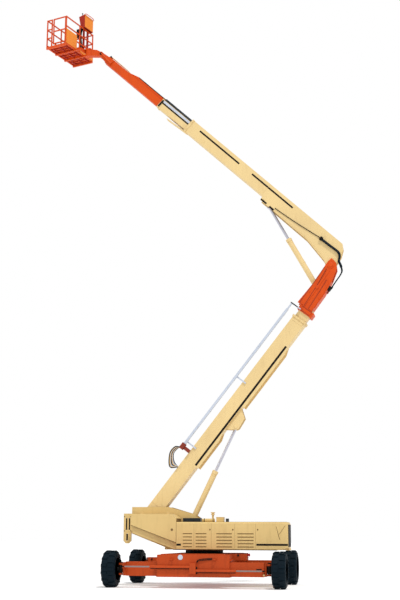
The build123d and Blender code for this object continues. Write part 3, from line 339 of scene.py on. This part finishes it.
# Sliding axles: a worn bright skin on each extension rod, a clevis pin through its end, dark caps over and
# under the kingpin, and two hose stubs at the steering head. All of it slides out with its beam.
def eased(points, steps=6):
    """Points on a smooth line through the given ones."""
    points = [Vector(point) for point in points]
    ends = [2 * points[0] - points[1], *points, 2 * points[-1] - points[-2]]
    line = []
    for before, start, stop, after in zip(ends, ends[1:], ends[2:], ends[3:]):
        for step in range(steps):
            part = step / steps
            line.append(0.5 * (
                2 * start + (stop - before) * part + (2 * before - 5 * start + 4 * stop - after) * part ** 2
                + (3 * start - before - 3 * stop + after) * part ** 3
            ))
    return line + [points[-1]]


dull_rod = sprayed("dull_rod", (0.30, 0.235, 0.22), (0.22, 0.17, 0.16), 0.35, 0.4)
high_rod, low_rod = 0.67, 0.555
rod_end, rod_start, rod_stand, rod_radius = 2.222, 1.05, 0.317, 0.0248
# corner, its side along the machine, its side across it
for corner, side_x, side_y in (
    ("rear_left", -1, -1), ("rear_right", 1, -1), ("front_left", -1, 1), ("front_right", 1, 1),
):
    king = Vector(joints["steer_turn_" + corner]["pos_m"])
    face = side_y * (abs(king.y) + rod_stand)
    height = high_rod if side_x * side_y > 0 else low_rod
    rods = bmesh.new()
    bar(rods, [(side_x * rod_end, face, height), (side_x * rod_start, face, height)], rod_radius, 20)
    fitted("extension_rod_skin_" + corner, rods, dull_rod, "axle_" + corner)
    head = bmesh.new()
    clevis = (side_x * 2.27, face - side_y * 0.047, height)
    turned(head, clevis, (0, side_y, 0), [(0, 0.03), (0.108, 0.03), (0.112, 0.024)], 16)
    for z in (0.395, 0.775):
        turned(head, (king.x, king.y, z), (0, 0, 1), [(0, 0.05), (0.03, 0.05), (0.036, 0.042)], 16)
    for z in (0.47, 0.53):
        bar(head, eased([
            (side_x * 2.2, king.y - side_y * 0.1, z), (side_x * 2.13, king.y - side_y * 0.17, z + 0.05),
            (side_x * 2.0, king.y - side_y * 0.16, z + 0.03),
        ]), 0.013, 8)
    fitted("axle_head_fittings_" + corner, head, black, "axle_" + corner)


# Rear right beam: a black strip that is painted shade of a slot, and a pale grease cap near its outer end.
# The cap is screwed to the beam's outer face, the strip lies on it, and both slide out with it.
def block(work, x, y, z, edge=0.004):
    """A block between two x, two y and two z values, with softened edges."""
    verts = bmesh.ops.create_cube(work, size=1)["verts"]
    for vert in verts:
        vert.co = Vector([span[0] + (co + 0.5) * (span[1] - span[0]) for span, co in zip((x, y, z), vert.co)])
    if edge:
        edges = dict.fromkeys(line for vert in verts for line in vert.link_edges)
        bmesh.ops.bevel(work, geom=list(edges), offset=edge, segments=2, affect="EDGES", profile=0.6)


tan = sprayed("tan_paint", (0.76, 0.52, 0.24), (0.60, 0.38, 0.16), 0.4)
beam_face = -2.034
# A black strip where the slot is: painted shade in the slot.
strip = bmesh.new()
block(strip, (2.03, 2.20), (beam_face - 0.01, beam_face), (0.588, 0.624), 0.002)
fitted("beam_slot_painted_shade", strip, black, "axle_rear_right")
grease_cap = bmesh.new()
turned(grease_cap, (2.27, beam_face, 0.43), (0, -1, 0), [(0, 0.034), (0.03, 0.034), (0.04, 0.022)], 16)
fitted("beam_grease_cap", grease_cap, tan, "axle_rear_right")


# Chassis frame: a round galvanised cover on each axle box, clamps and hoses of the barrel that pushes the
# axles out, a black pipe under each barrel that also serves as its painted shadow line, and bolted wear pads
# over and under each beam where it leaves its box.
box_wall, barrel_line = 2.084, 2.13
covers = bmesh.new()
for y in (-1, 1):
    disc = [(0, 0.082), (0.012, 0.082), (0.018, 0.072), (0.019, 0.03)]
    turned(covers, (-0.415, y * (box_wall - 0.001), 0.965), (0, y, 0), disc, 28)
fitted("frame_cover_discs", covers, galvanised, "chassis")
dark = bmesh.new()
for y in (-1, 1):
    wall = y * box_wall
    for low in (0.50, 0.62):
        block(dark, (0.10, 0.14), sorted((wall, wall + y * 0.03)), (low - 0.05, low + 0.05))
    # Black pipes under the barrels: hydraulic pipes that also serve as each barrel's painted shadow line.
    for side in (-1, 1):
        height = (high_rod if side * y > 0 else low_rod) - 0.056
        bar(dark, [(side * 0.09, y * barrel_line, height), (side * 1.38, y * barrel_line, height)], 0.014, 8)
    for lift in (0.0, 0.035):
        bar(dark, eased([
            (0.12, y * 2.10, 0.80 + lift), (0.20, y * barrel_line, 0.86 + lift),
            (0.42, y * 2.112, 0.89 + lift), (0.62, y * 2.094, 0.90 + lift),
        ]), 0.012, 8)
fitted("frame_fittings", dark, black, "chassis")
box_end, pad_end = 1.18, 1.215
plates = bmesh.new()
for x in (-1, 1):
    for y in (-1, 1):
        pad = sorted((x * box_end, x * pad_end)), sorted((y * 1.60, y * 2.06))
        for low in (0.36, 0.86):
            block(plates, *pad, (low, low + 0.028))
        for spot in (1.64, 1.83, 2.02):
            bolt(plates, (x * pad_end, y * spot, 0.90), (x, 0, 0), 0.014)
fitted("beam_wear_pads", plates, orange, "chassis")


# Boxes on the chassis: a latch and two hinges on each tool box, a lid seam and a latch on the valve box, and
# a red marker lamp screwed to the valve box's end.
lens_red = sprayed("red_lens", (0.45, 0.01, 0.02), (0.30, 0.01, 0.02), 0.2)
tool_face, valve_face = 1.069, -1.219
latches = bmesh.new()
for y in (-1, 1):
    block(latches, (-1.60, -1.55), sorted((y * tool_face, y * (tool_face + 0.019))), (0.86, 0.91))
    for x in (-1.73, -1.40):
        block(latches, (x, x + 0.02), sorted((y * tool_face, y * (tool_face + 0.009))), (0.72, 0.93), 0.002)
block(latches, (1.07, 1.61), (valve_face - 0.008, valve_face), (1.085, 1.10), 0.002)
block(latches, (1.30, 1.36), (valve_face - 0.019, valve_face), (1.0, 1.06))
fitted("box_latches", latches, black, "chassis")
lamps = bmesh.new()
lamp_rows = [(0, 0.034), (0.05, 0.034), (0.07, 0.05), (0.085, 0.05), (0.098, 0.036)]
turned(lamps, (1.612, -1.12, 1.04), (1, 0, 0), lamp_rows)
fitted("marker_lamp", lamps, lens_red, "chassis")


# Hoods of folded sheet, one on each side: black stripes low on the skin, a black sheet on the far end face
# as painted shade, shut lines between the doors, louvres pressed in rows with painted shade in their slits, a
# fold near the end with painted shade along it, and latches.
seam = sprayed("seam_shade", (0.20, 0.12, 0.045), (0.14, 0.085, 0.03), 0.7)
louvre_rows, louvre_pitch, louvre_height = 5, 0.105, 0.022
for side, name in ((-1, "hood_near"), (1, "hood_far")):
    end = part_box(name)[1][0]
    skin = side * 1.2195
    out = sorted((skin, side * 1.223))
    stripes = bmesh.new()
    block(stripes, (end - 1.04, end - 0.015), out, (1.335, 1.398), 0.001)
    block(stripes, (-0.724, -0.57), out, (1.325, 1.39), 0.001)
    # A black sheet over the far end face: painted shade of that face.
    block(stripes, (end - 0.002, end + 0.01), sorted((side * 0.40, side * 1.21)), (1.30, 2.01), 0.004)
    fitted(name + "_stripes", stripes, black, name)
    lines = bmesh.new()
    for x in (-0.14, 0.44, 1.22, 1.90):
        block(lines, (x, x + 0.004), out, (1.25, 2.03), 0.0)
    # Dark strips in the louvres' slits: painted shade in the recesses.
    for start, stop in ((-0.51, -0.20), (-0.08, 0.28), (0.61, 1.13), (1.31, 1.84)):
        for row in range(louvre_rows):
            low = 1.700 - row * louvre_pitch
            louvre_shade_span = sorted((side * 1.2045, side * 1.213))
            block(lines, (start + 0.003, stop - 0.003), louvre_shade_span, (low, low + louvre_height), 0.0)
    # Dark bars along the fold near the end: painted shade of the crease.
    for fold in (
        [(-0.39, 1.95), (-0.27, 1.52)], [(-0.09, 1.98), (-0.29, 1.70)], [(-0.37, 1.88), (-0.29, 1.56)],
    ):
        bar(lines, [(end + x, side * 1.2215, z) for x, z in fold], 0.006, 6)
    block(lines, (-0.72, end - 0.04), sorted((side * 1.168, side * 1.18)), (2.088, 2.096), 0.002)
    fitted(name + "_seams", lines, seam, name)
    grips = bmesh.new()
    for x in (0.38, 1.14, 1.96):
        block(grips, (x, x + 0.035), sorted((skin, side * 1.230)), (1.82, 1.87), 0.005)
    for x in (-0.60, 0.9, 2.5):
        block(grips, (x, x + 0.12), sorted((side * 0.392, side * 0.46)), (2.089, 2.102), 0.003)
    fitted(name + "_latches", grips, seam, name)


# Near hood's top: the air cleaner's funnel, the lids of the lamp case and of the air intake, clamp bands
# round the air cleaner, and the bars of the intake's grille.
cleaner_line = -0.62
grille_bars, grille_pitch = 16, 0.0375
tops = bmesh.new()
funnel = [(0, 0.03), (0.03, 0.034), (0.085, 0.078), (0.09, 0.07), (0.04, 0.02)]
turned(tops, (0.395, cleaner_line, 2.328), (0, 0, 1), funnel)
block(tops, (0.522, 0.778), (-0.768, -0.50), (2.246, 2.258))
block(tops, (-0.60, -0.01), (-0.765, -0.50), (2.224, 2.231))
fitted("hood_top_caps", tops, cream, "hood_near")
clamps = bmesh.new()
for x in (0.10, 0.40):
    turned(clamps, (x, cleaner_line, 2.152), (1, 0, 0), [(0, 0.066), (0.022, 0.066)])
for step in range(grille_bars):
    x = -0.585 + step * grille_pitch
    block(clamps, (x, x + 0.008), (-0.766, -0.758), (2.10, 2.226), 0.0)
fitted("hood_top_clamps", clamps, black, "hood_near")


# Turntable: painted shade along the folded edges of the welded counterweight, a seam under the hoods and one
# at their front, a plug on each cheek, bolted pin caps on the pivot plates and two lifting eyes a side.
def bent(work, outline, y):
    """A plate from an outline of (x, z), between two y values."""
    near, far = [[work.verts.new((x, side, z)) for x, z in outline] for side in y]
    work.faces.new(near)
    work.faces.new(far)
    for step in range(len(outline)):
        work.faces.new((near[step - 1], near[step], far[step], far[step - 1]))


def pin_cap(work, spot, axis, radius, rim, stand, sides):
    """The end of a pin: a round cap that stands out along the axis, cut back to its rim."""
    turned(work, spot, axis, [(0, radius), (stand, radius), (stand + 0.006, rim)], sides)


marks = bmesh.new()
fold_shade_outline = [(-2.275, 1.975), (-0.75, 1.412), (-0.75, 1.426), (-2.275, 1.992)]
for side in (-1, 1):
    # A dark band along each fold of the counterweight: painted shade of the crease.
    bent(marks, fold_shade_outline, sorted((side * 1.222, side * 1.148)))
    turned(marks, (-0.88, side * 1.219, 1.84), (0, side, 0), [(0, 0.04), (0.006, 0.04), (0.008, 0.028)])
    block(marks, (-0.84, 2.60), sorted((side * 1.158, side * 1.166)), (1.186, 1.214), 0.002)
    block(marks, (-0.748, -0.738), sorted((side * 0.40, side * 1.14)), (1.24, 2.20), 0.001)
fitted("turntable_seams", marks, seam, "turret")
bolts, bolt_circle, plate_face = 6, 0.11, 0.356
eye_line, eye_foot = 0.8, 2.348
caps = bmesh.new()
for side in (-1, 1):
    spot = Vector(joints["lower_lift"]["pos_m"]) + Vector((0, side * plate_face, 0))
    pin_cap(caps, spot, (0, side, 0), 0.085, 0.07, 0.012, 28)
    for step in range(bolts):
        turn = 2 * math.pi * step / bolts
        around = Vector((bolt_circle * math.cos(turn), 0, bolt_circle * math.sin(turn)))
        bolt(caps, spot + around, (0, side, 0), 0.014)
    for x in (-2.0, -1.1):
        turned(caps, (x, side * eye_line, eye_foot), (0, 0, 1), [(0, 0.05), (0.02, 0.05), (0.024, 0.03)], 16)
        arch = [(-0.035, 2.365), (-0.03, 2.405), (0, 2.42), (0.03, 2.405), (0.035, 2.365)]
        bar(caps, eased([(x + across, side * eye_line, z) for across, z in arch], 3), 0.009, 8)
fitted("turntable_caps", caps, cream, "turret")


# Tail of the turntable: four bolts through the slotted tie plate, black plates behind its slots as painted
# shade in them, and a hose that comes down between the cheeks.
tail = bmesh.new()
for x in (-2.69, -2.47):
    for z in (1.80, 2.28):
        bolt(tail, (x, -0.455, z), (0, -1, 0), 0.012)
# Black plates behind the slots: painted shade inside them.
for x, z in (
    ((-2.636, -2.594), (1.834, 2.226)), ((-2.536, -2.494), (1.834, 2.226)),
    ((-2.616, -2.564), (1.484, 1.706)),
):
    block(tail, x, (-0.446, -0.43), z, 0.0)
drop = [(-2.30, -0.40, 2.20), (-2.36, -0.36, 2.10), (-2.32, -0.345, 1.95), (-2.22, -0.34, 1.85)]
bar(tail, eased(drop), 0.018, 8)
fitted("tail_fittings", tail, black, "turret")


# Lower boom, a welded box section: a long black stripe low on each side, wear-pad covers bolted on at the
# collar, a band at the foot and a cap on each stub pin of the cylinder's lugs.
def along_boom(hinge, slide, flip):
    """Frame of a boom or cylinder: x along it from its hinge, y across, z up, or down where flip is -1."""
    start, run = Vector(joints[hinge]["pos_m"]), Vector(joints[slide]["axis"])
    rise = Vector((-run.z, 0, run.x)) * flip
    rows = (run.x, 0, rise.x, start.x), (0, 1, 0, start.y), (run.z, 0, rise.z, start.z), (0, 0, 0, 1)
    return Matrix(rows)


lower_boom = along_boom("lower_lift", "lower_extend", 1)
base_skin = 0.2345
stripes = bmesh.new()
for side in (-1, 1):
    block(stripes, (2.44, 7.58), sorted((side * base_skin, side * 0.238)), (-0.235, -0.163), 0.001)
fitted("lower_boom_stripes", stripes, black, "lower_boom", lower_boom)
collar = bmesh.new()
for side in (-1, 1):
    for rise in (-0.19, 0.0, 0.19):
        block(collar, (8.575, 8.64), sorted((side * 0.256, side * 0.268)), (rise - 0.04, rise + 0.04))
        bolt(collar, (8.61, side * 0.268, rise), (0, side, 0), 0.012)
    block(collar, (8.46, 8.566), sorted((side * base_skin, side * 0.242)), (-0.20, 0.21))
    block(collar, (0.55, 0.62), sorted((side * base_skin, side * 0.244)), (-0.22, 0.23))
    pin_cap(collar, (4.336, side * 0.159, -0.48), (0, side, 0), 0.062, 0.05, 0.016, 22)
for rise in (-0.272, 0.286):
    block(collar, (8.60, 8.656), (-0.20, 0.20), sorted((rise, rise * 1.05)))
fitted("lower_boom_collar_pads", collar, cream, "lower_boom", lower_boom)


# Hose guide of the lower boom: a red-brown valve block, made as a sleeve of four plates that the sliding tube
# passes through, seven hoses that loop from it to the boom's foot, and galvanised bands round the guide.
maroon = sprayed("maroon_paint", (0.26, 0.040, 0.022), (0.16, 0.026, 0.016), 0.5)
valve = bmesh.new()
for y, rise in (
    ((-0.375, -0.346), (0.475, 0.625)), ((-0.264, -0.238), (0.475, 0.625)),
    ((-0.36, -0.25), (0.591, 0.625)), ((-0.36, -0.25), (0.475, 0.509)),
):
    block(valve, (2.58, 2.80), y, rise, 0.005)
block(valve, (2.62, 2.74), (-0.34, -0.20), (0.255, 0.48), 0.006)
fitted("boom_valve_block", valve, maroon, "lower_boom", lower_boom)
lane_pitch, lane_spread = 0.018, 0.036
for kind, paint, finish, lanes in (
    ("dark", rubber, "tyre", (0, 3, 6)), ("pale", galvanised, "bare_steel", (1, 4)),
    ("cream", tan, "cream_paint", (2, 5)),
):
    loops = bmesh.new()
    for lane in lanes:
        y = -0.26 - lane_pitch * lane
        reach = lane_spread * lane
        crown = 0.66 + 0.4 * reach
        bar(loops, eased([
            (2.61, y, 0.609), (2.50, y, crown), (2.28 - 0.3 * reach, y + 0.02, crown),
            (2.08 - reach, y + 0.06, 0.48), (2.02, y + 0.08, 0.25),
        ]), 0.017, 8)
    fitted("boom_foot_hoses_" + kind, loops, paint, "lower_boom", lower_boom)
bands = bmesh.new()
for along in (2.80, 4.2, 5.6, 7.0, 8.40):
    block(bands, (along, along + 0.035), (-0.350, -0.260), (0.505, 0.595), 0.004)
fitted("hose_guide_bands", bands, galvanised, "lower_boom", lower_boom)


# Knuckle, cut from plate: stepped doubler plates welded on each cheek with painted shade along their edges,
# caps and keeper bolts at its two pins, and a black quick coupling with a red-brown cap low on the far edge.
doubler = bmesh.new()
doubler_edge_shade = bmesh.new()
upper_edge = [(9.10, 0.36), (9.88, 0.385), (10.62, 0.42)]
middle_edge = [(9.10, 0.17), (9.94, 0.24), (10.62, 0.33)]
lower_edge = [(9.10, -0.02), (9.90, 0.04), (10.30, 0.08)]
keepers = [(10.81, 0.205), (10.81, 0.385), (8.97, 0.15), (8.97, -0.15), (9.6, 0.30), (9.6, -0.09)]
for side in (-1, 1):
    out = (0, side, 0)
    cheek = sorted((side * 0.2235, side * 0.240))
    bent(doubler, [middle_edge[0], *upper_edge, *middle_edge[:0:-1]], cheek)
    bent(doubler, [(9.10, -0.165), *lower_edge, (10.22, -0.03), (9.86, -0.12)], cheek)
    block(doubler, (8.90, 9.045), sorted((side * 0.2335, side * 0.246)), (-0.20, 0.20), 0.004)
    pin_cap(doubler, (10.81, side * 0.244, 0.295), out, 0.078, 0.064, 0.014, 24)
    pin_cap(doubler, (9.896, side * 0.222, 0.198), out, 0.062, 0.05, 0.026, 22)
    for along, rise in keepers:
        bolt(doubler, (along, side * 0.244, rise), out, 0.013)
    # Dark red-brown bars along the doublers' edges and the collar plate: painted shade at the steps.
    for edge in (middle_edge, lower_edge, upper_edge):
        bar(doubler_edge_shade, [(along, side * 0.2405, rise) for along, rise in edge], 0.009, 6)
    for along in (8.915, 9.05):
        bar(doubler_edge_shade, [(along, side * 0.2465, -0.2), (along, side * 0.2465, 0.2)], 0.008, 6)
fitted("knuckle_doublers", doubler, orange, "lower_inner", lower_boom)
fitted("knuckle_doubler_edge_shade", doubler_edge_shade, maroon, "lower_inner", lower_boom)
coupling_y = -0.16
coupling = bmesh.new()
block(coupling, (10.02, 10.19), (-0.222, -0.10), (-0.235, -0.085), 0.008)
stem = [(10.0, coupling_y, -0.20), (10.16, coupling_y, -0.225), (10.24, coupling_y, -0.215)]
bar(coupling, stem, 0.026, 12)
fitted("knuckle_coupling", coupling, black, "lower_inner", lower_boom)
coupling_cap = bmesh.new()
cap_rows = [(0, 0.03), (0.05, 0.034), (0.09, 0.034), (0.10, 0.02)]
turned(coupling_cap, (10.01, coupling_y, -0.20), (-1, 0, -0.1), cap_rows, 16)
fitted("coupling_cap", coupling_cap, maroon, "lower_inner", lower_boom)
clamp = bmesh.new()
block(clamp, (8.905, 8.935), (-0.345, -0.262), (0.30, 0.60), 0.004)
fitted("hose_rod_clamp", clamp, black, "lower_inner", lower_boom)


# Hoses over the knuckle: three rubber hoses that leave the coupling, swing out round the pivot and lie on the
# heel, where a thicker sleeve holds them.
hose_run = (
    (4.50, 10.10), (4.654, 10.316), (4.80, 10.524), (4.85, 10.66), (4.815, 10.847), (4.755, 11.012),
    (4.785, 11.20), (4.72, 11.356), (4.475, 11.567), (4.17, 11.83),
)
sleeve_start, sleeve_overlap = 24, 2
for lane in range(3):
    shift = Vector((0.018 * lane, 0, 0.014 * lane))
    y = -0.225 + 0.02 * lane
    path = eased([Vector((x, y, z)) + shift for x, z in hose_run])
    hose = bmesh.new()
    bar(hose, path[:sleeve_start], 0.012, 8)
    bar(hose, path[sleeve_start - sleeve_overlap:], 0.024, 8)
    piece = fitted("knuckle_hose_%d" % lane, hose, rubber, None)
    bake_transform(piece)


# Upper boom, a welded box section on a plate heel: black stripes high on each side, rubbing pads at the edge
# of the heel, a hose clipped along it, pin caps, bolted collar pads and raised weld lines.
upper_boom = along_boom("upper_lift", "upper_mid_extend", -1)
heel_skin = 0.179
stripes = bmesh.new()
for side in (-1, 1):
    flat = sorted((side * (heel_skin + 0.0005), side * 0.183))
    raised = sorted((side * heel_skin, side * 0.19))
    block(stripes, (5.03, 7.02), flat, (0.650, 0.710), 0.001)
    block(stripes, (2.42, 4.41), flat, (0.660, 0.720), 0.001)
    block(stripes, (2.89, 3.14), raised, (0.158, 0.222), 0.003)
    block(stripes, (3.25, 3.52), raised, (0.172, 0.232), 0.003)
clipped_hose = [(0.92, -0.195, 0.50), (1.4, -0.195, 0.43), (2.2, -0.193, 0.33), (2.9, -0.192, 0.27)]
bar(stripes, eased(clipped_hose), 0.014, 8)
block(stripes, (0.84, 0.94), (-0.255, -0.178), (0.425, 0.555), 0.012)
fitted("upper_boom_stripes", stripes, black, "upper_boom", upper_boom)
pads = bmesh.new()
for side in (-1, 1):
    out = (0, side, 0)
    weld_y = side * (heel_skin + 0.002)
    pin_cap(pads, (0, side * 0.178, 0), out, 0.1, 0.085, 0.018, 28)
    pin_cap(pads, (3.15, side * 0.178, 0.205), out, 0.055, 0.045, 0.014, 22)
    for rise in (0.42, 0.75):
        block(pads, (7.455, 7.52), sorted((side * 0.193, side * 0.203)), (rise - 0.045, rise + 0.045))
        bolt(pads, (7.49, side * 0.203, rise), out, 0.011)
    block(pads, (6.58, 6.66), sorted((side * heel_skin, side * 0.186)), (0.43, 0.50), 0.003)
    bar(pads, [(3.62, weld_y, 0.345), (3.62, weld_y, 0.832)], 0.004, 6)
    bar(pads, [(0.35, weld_y, 0.04), (1.27, weld_y, 0.19), (3.5, weld_y, 0.205)], 0.005, 6)
fitted("upper_boom_pads", pads, cream, "upper_boom", upper_boom)


# Middle section: the links of the hose carrier in their channel, dark rails beside it and below, a bolted
# galvanised strip on each side, and the dark pads at the section's end.
link_count, link_pitch, link_length = 17, 0.078, 0.06
section_start, section_end = 7.56, 8.90
links = bmesh.new()
for step in range(link_count):
    start = 7.60 + step * link_pitch
    block(links, (start, start + link_length), (-0.084, 0.084), (0.804, 0.824), 0.004)
fitted("carrier_links", links, black, "upper_mid", upper_boom)
rails = bmesh.new()
strip = bmesh.new()
for side in (-1, 1):
    block(rails, (section_start, section_end), sorted((side * 0.1495, side * 0.156)), (0.575, 0.625), 0.002)
    block(rails, (section_end, 8.965), sorted((side * 0.165, side * 0.176)), (0.40, 0.70), 0.003)
    block(rails, (section_start, 8.915), sorted((side * 0.08, side * 0.086)), (0.745, 0.77), 0.002)
    block(strip, (section_start, section_end), sorted((side * 0.1495, side * 0.154)), (0.632, 0.715), 0.002)
    for along in (7.75, 8.1, 8.45, 8.8):
        bolt(strip, (along, side * 0.154, 0.674), (0, side, 0), 0.01)
fitted("mid_section_rails", rails, black, "upper_mid", upper_boom)
fitted("mid_section_strip", strip, galvanised, "upper_mid", upper_boom)


# Fly section: black edge strips on the hose trough and a stop at the tip, caps on the fork's pin, two tan
# tubes that feed the tip from the trough, and the levelling cylinder, pinned beside the tip.
fly = bmesh.new()
block(fly, (11.775, 11.815), (-0.10, 0.10), (0.665, 0.735), 0.004)
for side in (-1, 1):
    block(fly, (8.60, 10.33), sorted((side * 0.0655, side * 0.0685)), (0.765, 0.796), 0.0)
    turned(fly, (12.17, side * 0.141, 0.541), (0, side, 0), [(0, 0.05), (0.012, 0.05), (0.017, 0.04)])
fitted("fly_fittings", fly, black, "upper_fly", upper_boom)
feed = bmesh.new()
for y in (-0.03, 0.03):
    bar(feed, eased([(10.70, y, 0.688), (10.9, y, 0.715), (11.3, y, 0.722), (11.80, y, 0.722)], 5), 0.014, 8)
fitted("fly_feed_tubes", feed, tan, "upper_fly", upper_boom)
gland, rod_tip = (12.02, -0.165, 0.545), (12.16, -0.165, 0.56)
level = bmesh.new()
bar(level, [(11.56, -0.155, 0.50), (11.60, -0.155, 0.504)], 0.05, 14)
bar(level, [(11.58, -0.165, 0.50), gland], 0.032, 14)
bar(level, [gland, rod_tip], 0.017, 12)
fitted("levelling_cylinder", level, orange, "upper_fly", upper_boom)


# Lift cylinders, steel tube with a screwed gland nut: raised bands round each barrel, and two hydraulic pipes
# along it from port to port, held by three clamps.
pipe_radius, band_width = 0.01, 0.03
# name, its pin, its slide, the length and the radius of its barrel
for name, pin, slide, reach, radius in (
    ("lower", "lower_barrel_pin", "lower_rod_slide", 2.63, 0.095),
    ("upper", "upper_barrel_pin", "upper_rod_slide", 2.09, 0.098),
):
    place = along_boom(pin, slide, 1)
    trim = bmesh.new()
    gland_nut = [(0, radius + 0.002), (0.006, radius - 0.002), (0.009, 0.064)]
    turned(trim, (reach - 0.003, 0, 0), (1, 0, 0), gland_nut, 24)
    for along in (0.12, 0.5 * reach, reach - 0.18):
        turned(trim, (along, 0, 0), (1, 0, 0), [(0, radius + 0.004), (band_width, radius + 0.004)], 24)
    fitted(name + "_barrel_trim", trim, cream, name + "_barrel", place)
    pipes = bmesh.new()
    port, side = radius * 0.9, radius + 0.025
    for lift in (-0.025, 0.025):
        bar(pipes, eased([
            (0.22, port, lift), (0.27, side, lift), (0.5, side, lift), (reach - 0.4, side, lift),
            (reach - 0.24, side, lift), (reach - 0.2, port, lift),
        ], 5), pipe_radius, 8)
    for along in (0.55, 0.5 * reach, reach - 0.5):
        block(pipes, (along, along + band_width), (radius - 0.012, radius + 0.04), (-0.045, 0.045), 0.004)
    fitted(name + "_barrel_pipes", pipes, tan, name + "_barrel", place)


# Platform floor: a welded grating of flat bars under foot, and the cross members and three long bars that
# carry it below. Both stand in the platform's own frame, which turns about its rotator.
swing = Vector(joints["platform_swing"]["pos_m"])
deck_turn = math.radians(-17.7)
deck_place = Matrix.Translation((swing.x, swing.y, 0)) @ Matrix.Rotation(deck_turn, 4, "Z")
near, far, half, floor = -0.45, -1.36, 0.915, 19.88
cross_bars, cross_pitch = 29, 0.0614
long_bars, long_pitch = 14, 0.0615
members, member_pitch = 11, 0.16
grating = bmesh.new()
for step in range(cross_bars):
    y = -0.86 + step * cross_pitch
    block(grating, (far + 0.045, near - 0.045), (y, y + 0.012), (floor - 0.001, floor + 0.006), 0.0)
for step in range(long_bars):
    x = far + 0.05 + step * long_pitch
    block(grating, (x, x + 0.008), (-0.865, 0.865), (floor - 0.001, floor + 0.004), 0.0)
fitted("platform_grating", grating, deep_red, "platform", deck_place)
under = bmesh.new()
for step in range(members):
    y = -0.82 + step * member_pitch
    block(under, (far + 0.04, near - 0.04), (y, y + 0.03), (floor - 0.044, floor - 0.006), 0.003)
for x in (-1.2, -0.9, -0.62):
    block(under, (x, x + 0.03), (-0.87, 0.87), (floor - 0.05, floor - 0.006), 0.003)
fitted("platform_underside", under, deep_red, "platform", deck_place)


# Platform panels and controls: amber sheets on the rails, the kick plate and the console's back, four levers
# on the console, the foot switch, a cable duct with its box, and the cables that drop from console to floor.
amber = sprayed("amber_panel", (0.86, 0.27, 0.03), (0.72, 0.19, 0.02), 0.4)
console_top = floor + 1.615
panel = bmesh.new()
block(panel, (near - 0.002, near + 0.006), (-0.90, -0.21), (floor + 0.01, floor + 0.59), 0.002)
block(panel, (near - 0.002, near + 0.012), (0.04, 0.905), (floor - 0.02, floor + 0.10), 0.003)
block(panel, (near + 0.055, near + 0.078), (0.205, 0.755), (floor + 1.13, floor + 1.63), 0.004)
fitted("platform_panels", panel, amber, "platform", deck_place)
lever = [(0, 0.028), (0.03, 0.03), (0.036, 0.012), (0.11, 0.010), (0.116, 0.022), (0.15, 0.024), (0.16, 0.01)]
controls = bmesh.new()
for y in (0.28, 0.40, 0.56, 0.68):
    turned(controls, (near - 0.12, y, console_top), (0.1, 0, 1), lever, 14)
block(controls, (near - 0.20, near - 0.04), (-0.30, -0.12), (floor + 0.006, floor + 0.09), 0.01)
block(controls, (near - 0.10, near - 0.045), (0.10, 0.16), (floor, floor + 1.06), 0.006)
block(controls, (near - 0.16, near - 0.05), (-0.02, 0.14), (floor + 0.62, floor + 0.96), 0.01)
for lane in range(3):
    y = 0.27 + lane * 0.025
    bar(controls, eased([
        (near - 0.11, y, floor + 1.11), (near - 0.12, y - 0.06, floor + 0.8),
        (near - 0.10, y - 0.02, floor + 0.4), (near - 0.07, y + 0.05, floor + 0.006),
    ]), 0.012, 8)
fitted("platform_controls", controls, black, "platform", deck_place)


# Platform rails: a welded collar at each joint of tube and post, three on the gate post, and a round hand
# rail bent over the console.
tube = 0.019
joint_heights, hinge_heights = (0.349, 0.701, 1.081), (0.1, 0.48, 0.98)
collars = bmesh.new()
for x in (far + tube, near - tube):
    for y in (-half + tube, 0.0, half - tube):
        for height in joint_heights:
            turned(collars, (x, y, floor + height - 0.024), (0, 0, 1), [(0, 0.024), (0.048, 0.024)], 12)
for height in hinge_heights:
    turned(collars, (near - tube, -half + tube, floor + height), (0, 0, 1), [(0, 0.029), (0.03, 0.029)], 12)
bar(collars, eased([
    (near + 0.03, 0.20, floor + 1.60), (near + 0.10, 0.2, floor + 1.66), (near + 0.12, 0.48, floor + 1.665),
    (near + 0.10, 0.76, floor + 1.66), (near + 0.03, 0.76, floor + 1.60),
], 5), 0.013)
fitted("rail_joints", collars, orange, "platform", deck_place)

low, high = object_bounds()
